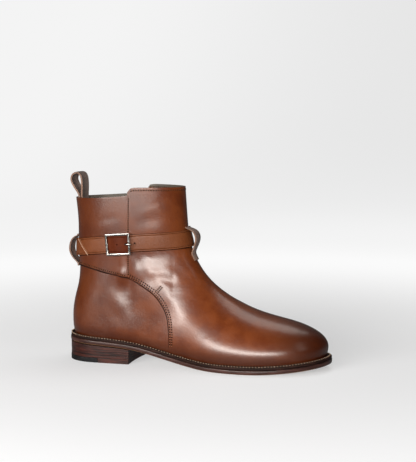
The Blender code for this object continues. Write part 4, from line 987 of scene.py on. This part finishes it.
# Buckle: a frame of square steel wire with rounded edges, its bar under the strap, and a prong hung on
# the bar whose tip rests on the front of the frame. All of it is polished.
WIRE = 0.0023
BUCKLE_LONG = 0.0272
BUCKLE_HIGH = 0.0242
BUCKLE_STAND = 0.0059
BAR_STAND = 0.0026
WIRE_DEEP = WIRE * 0.86


def finish_flat(piece):
    """A piece made flat on the bench, now wrapped round the shaft."""
    put_vertices(piece, wrap(vertices(piece)))


bpy.ops.object.select_all(action="DESELECT")
bpy.ops.mesh.primitive_plane_add(size=1)
buckle = bpy.context.object
buckle.name = buckle.data.name = "buckle_frame"
buckle.scale = (BUCKLE_LONG, BUCKLE_HIGH, 1)
bpy.ops.object.transform_apply(location=True, rotation=True, scale=True)
edit(buckle, "FACE")
choose("SELECT")
bpy.ops.mesh.inset(thickness=WIRE)
bpy.ops.mesh.delete(type="FACE")
choose("SELECT")
bpy.ops.mesh.extrude_region_move(TRANSFORM_OT_translate={"value": (0, 0, WIRE_DEEP)})
choose("SELECT")
bpy.ops.mesh.normals_make_consistent(inside=False)
done()
put_vertices(buckle, vertices(buckle) + np.array([0, 0, BUCKLE_STAND - WIRE_DEEP / 2]))
edit(buckle, "EDGE")
done()
# The frame's four outer corners are well rounded, its other edges a little.
for edge in buckle.data.edges:
    a, b = (buckle.data.vertices[i].co for i in edge.vertices)
    upright = abs(a.x - b.x) < 1e-6 and abs(a.y - b.y) < 1e-6
    edge.select = upright and abs(a.x) > BUCKLE_LONG / 2 - WIRE / 2
bpy.ops.object.mode_set(mode="EDIT")
bpy.ops.mesh.bevel(offset=0.0012, segments=4, profile=0.5)
choose("DESELECT")
bpy.ops.mesh.edges_select_sharp(sharpness=math.radians(60))
bpy.ops.mesh.bevel(offset=0.0005, segments=3, profile=0.5)
choose("SELECT")
bpy.ops.mesh.subdivide(number_cuts=2)
done()
finish_flat(buckle)
buckle.data.shade_smooth()


def wire(name, path, radius, taper=None):
    """A round wire along flat places (length, across, stand)."""
    curve = bpy.data.curves.new(name, "CURVE")
    curve.dimensions, curve.bevel_depth, curve.bevel_resolution = "3D", radius, 4
    curve.use_fill_caps = True
    line = curve.splines.new("BEZIER")
    line.bezier_points.add(len(path) - 1)
    for point, place_on in zip(line.bezier_points, path):
        point.co = place_on
        point.handle_left_type = point.handle_right_type = "AUTO"
    for point, size in zip(line.bezier_points, taper or [1.0] * len(path)):
        point.radius = size
    curve.resolution_u = 6
    made = bpy.data.objects.new(name, curve)
    bpy.context.scene.collection.objects.link(made)
    pick(made)
    bpy.ops.object.convert(target="MESH")
    made = bpy.context.object
    finish_flat(made)
    made.data.shade_smooth()
    return made


edge_in = BUCKLE_HIGH / 2 - WIRE / 2
bar = wire("buckle_bar", [
    (0, -edge_in, BUCKLE_STAND), (0, -edge_in, BAR_STAND + 0.0010), (0, -edge_in + 0.0008, BAR_STAND),
    (0, 0, BAR_STAND), (0, edge_in - 0.0008, BAR_STAND), (0, edge_in, BAR_STAND + 0.0010),
    (0, edge_in, BUCKLE_STAND),
], WIRE / 2 * 0.9)
prong = wire("buckle_prong", [
    (0.0017, 0, 0.0030), (0.0032, 0, 0.0036), (0.0052, 0, 0.0039), (0.0072, 0, 0.0045), (0.0084, 0, 0.0057),
    (0.0095, 0, 0.0074), (0.0108, 0, 0.0082), (0.0125, 0, 0.0084), (0.0146, 0, 0.0081),
], 0.00110, [0.8, 0.8, 0.8, 0.9, 1, 1, 1, 1, 0.9])
bpy.ops.object.select_all(action="DESELECT")
bpy.ops.mesh.primitive_torus_add(
    location=(0, 0, BAR_STAND), rotation=(math.pi / 2, 0, 0), major_radius=0.0018, minor_radius=0.00055,
    major_segments=28, minor_segments=12,
)
eye = bpy.context.object
bpy.ops.object.transform_apply(location=True, rotation=True, scale=True)
finish_flat(eye)
eye.data.shade_smooth()
pick(prong, eye)
bpy.ops.object.join()
pick(buckle, bar)
bpy.ops.object.join()
steel, tree, shader, place = new_material("polished_steel", 0.16, metallic=1.0)
smear = noise(tree, place, 420.0, 4.0)
tree.links.new(spread(tree, smear, 0.3, 0.75, 0.12, 0.30), shader.inputs["Roughness"])
colour = blend(tree, spread(tree, smear, 0.4, 0.7), (0.46, 0.45, 0.43), (0.33, 0.32, 0.31))
tree.links.new(colour, shader.inputs["Base Color"])
bump(tree, shader, noise(tree, place, 1500.0, 2.0), 0.00005, 0.25)
for piece, node in ((buckle, "buckle"), (prong, "prong")):
    piece.data.materials.clear()
    piece.data.materials.append(steel)
    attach(piece, "root")
    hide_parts(node)


# Keepers and pull loop: bands of brown leather with bare brown edges; their light grey-brown tone is partly a
# painted reflection of the pale surroundings. The keepers are sewn on above and below the strap at the front
# and back; the loop's tails are sewn inside the collar.
def band_finish(name, light, dark, roughness):
    """Leather with a thin coat of polish."""
    gloss = {"roughness": roughness, "coat": 0.12, "coat_roughness": 0.3}
    return plain_leather(name, light, dark, gloss, 1300.0, 0.00013, 0.6)


# The light grey in these colours is partly painted reflection of the pale paper.
loop_leather_and_sheen = band_finish("loop_leather_and_sheen", (0.290, 0.222, 0.200), (0.180, 0.132, 0.116), 0.46)
keeper_leather_and_sheen = band_finish("keeper_leather_and_sheen", (0.290, 0.200, 0.170), (0.200, 0.130, 0.106), 0.42)
raw_edge = band_finish("raw_edge", (0.185, 0.098, 0.062), (0.110, 0.055, 0.035), 0.7)


def band(node, name, main, edges):
    """A band of leather; the faces along its two sides take the bare edge's material."""
    made = copy_of(node, name)
    round_edges(made, 0.00035, 2, 50)
    smooth_skin(made, 2)
    made.data.materials.append(main)
    made.data.materials.append(edges)
    middle = (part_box(node)[0][1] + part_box(node)[1][1]) / 2
    for face in made.data.polygons:
        sideways = abs(face.normal.y) > 0.72
        face.material_index = 1 if sideways and abs(face.center.y - middle) > 0.005 else 0
    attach(made, "root")
    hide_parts(node)


band("pull_loop", "loop_band", loop_leather_and_sheen, raw_edge)
band("front_keeper", "front_band", keeper_leather_and_sheen, raw_edge)
band("back_keeper", "back_band", keeper_leather_and_sheen, raw_edge)


# Floor, lights and camera: a pale paper floor that curves up into a wall, a low wide light in front with
# a larger soft one behind it, a light high up behind the boot and a weak fill towards the toe.
bpy.ops.object.select_all(action="DESELECT")
bpy.ops.mesh.primitive_plane_add(size=1, location=(0, 0, 0))
floor = bpy.context.object
floor.name = "floor"
floor.scale = (9, 5, 1)
floor.location = (0, 1.95, 0)
NEAR_WALL = 4.0
WALL_HIGH = 5.0
WALL_BEND = 2.5
bpy.ops.object.transform_apply(location=True, rotation=True, scale=True)
edit(floor, "EDGE")
done()
for edge in floor.data.edges:
    a, b = (floor.data.vertices[i].co for i in edge.vertices)
    edge.select = a.y > NEAR_WALL and b.y > NEAR_WALL
bpy.ops.object.mode_set(mode="EDIT")
bpy.ops.mesh.extrude_region_move(TRANSFORM_OT_translate={"value": (0, 0, WALL_HIGH)})
choose("DESELECT")
done()
for edge in floor.data.edges:
    a, b = (floor.data.vertices[i].co for i in edge.vertices)
    edge.select = a.y > NEAR_WALL and b.y > NEAR_WALL and abs(a.z) < 1e-6 and abs(b.z) < 1e-6
bpy.ops.object.mode_set(mode="EDIT")
bpy.ops.mesh.bevel(offset=WALL_BEND, segments=16)
done()
floor.data.shade_smooth()
# The paper also glows: painted light that the camera sees, and faintly its reflections. The glow is weaker
# near the boot, so the lamps' shadows show there; in reflections the paper's own colour is darker.
paper, tree, shader, place = new_material("pale_paper", 0.85, specular=0.0)
reach = tree.nodes.new("ShaderNodeVectorMath")
reach.operation = "LENGTH"
tree.links.new(place, reach.inputs[0])
reach = reach.outputs["Value"]
rays = tree.nodes.new("ShaderNodeLightPath")
pale = spread(tree, reach, 0.25, 1.3, 0.56, 0.03)
mirrored = spread(tree, rays.outputs["Is Glossy Ray"], 0.0, 1.0, 1.0, 0.45)
pale = math_node(tree, "MULTIPLY", pale, mirrored)
# The lamps are warm, so the paper is a shade cooler to stay neutral.
tree.links.new(blend(tree, pale, (0.0, 0.0, 0.0), (0.955, 0.990, 1.045)), shader.inputs["Base Color"])
# Painted falloff: far from the boot the glow dims on the right, less so towards the left.
sideways = tree.nodes.new("ShaderNodeSeparateXYZ")
tree.links.new(place, sideways.inputs[0])
painted_falloff = spread(tree, sideways.outputs["X"], -1.6, -0.1, 0.0, 0.11)
painted_falloff = math_node(tree, "MULTIPLY", painted_falloff, spread(tree, reach, 1.0, 3.0))
bright = math_node(tree, "SUBTRACT", spread(tree, reach, 0.20, 1.0, 0.42, 0.90), painted_falloff)
seen = math_node(tree, "MULTIPLY", rays.outputs["Is Glossy Ray"], 0.12)
seen = math_node(tree, "ADD", rays.outputs["Is Camera Ray"], seen)
glow = tree.nodes.new("ShaderNodeEmission")
tree.links.new(math_node(tree, "MULTIPLY", seen, bright), glow.inputs["Strength"])
both = tree.nodes.new("ShaderNodeAddShader")
tree.links.new(shader.outputs[0], both.inputs[0])
tree.links.new(glow.outputs[0], both.inputs[1])
tree.links.new(both.outputs[0], tree.nodes["Material Output"].inputs["Surface"])
floor.data.materials.append(paper)

world = bpy.data.worlds.new("studio")
bpy.context.scene.world = world
world.use_nodes = True
room = world.node_tree.nodes["Background"]
room.inputs["Color"].default_value = (1, 1, 1, 1)
rays = world.node_tree.nodes.new("ShaderNodeLightPath")
strength = spread(world.node_tree, rays.outputs["Is Camera Ray"], 0.0, 1.0, 0.03, 0.90)
world.node_tree.links.new(strength, room.inputs["Strength"])


def softbox(name, azimuth, elevation, distance, size, power, aim=(-0.02, 0, 0.08)):
    """An oblong light; azimuth 0 is on the buckle's side, and grows towards the toe."""
    light = bpy.data.lights.new(name, "AREA")
    light.shape, light.size, light.size_y, light.energy = "RECTANGLE", *size, power
    light.color = (1.0, 0.955, 0.90)
    lamp = bpy.data.objects.new(name, light)
    bpy.context.scene.collection.objects.link(lamp)
    turn, rise = math.radians(azimuth), math.radians(elevation)
    out = Vector((math.sin(turn) * math.cos(rise), -math.cos(turn) * math.cos(rise), math.sin(rise)))
    lamp.location = Vector(aim) + out * distance
    lamp.rotation_euler = (-out).to_track_quat("-Z", "Y").to_euler()


softbox("key", -6, 11, 1.7, (1.90, 0.26), 30)
softbox("key_rim", -6, 11, 1.72, (2.50, 0.56), 31)
softbox("overhead", 165, 70, 2.2, (1.5, 1.1), 14)
softbox("fill", 60, 30, 2.6, (0.5, 1.2), 2.5)

camera_data = bpy.data.cameras.new("camera")
camera_data.lens, camera_data.sensor_width = 96.37, 36
camera = bpy.data.objects.new("camera", camera_data)
bpy.context.scene.collection.objects.link(camera)
camera.location = (0.4053, -1.3110, 0.2929)
yaw, pitch = 0.29086, 0.10437
view = Vector((-math.sin(yaw) * math.cos(pitch), math.cos(yaw) * math.cos(pitch), -math.sin(pitch)))
camera.rotation_euler = view.to_track_quat("-Z", "Y").to_euler()
bpy.context.scene.camera = camera
bpy.context.scene.view_settings.view_transform = "Standard"
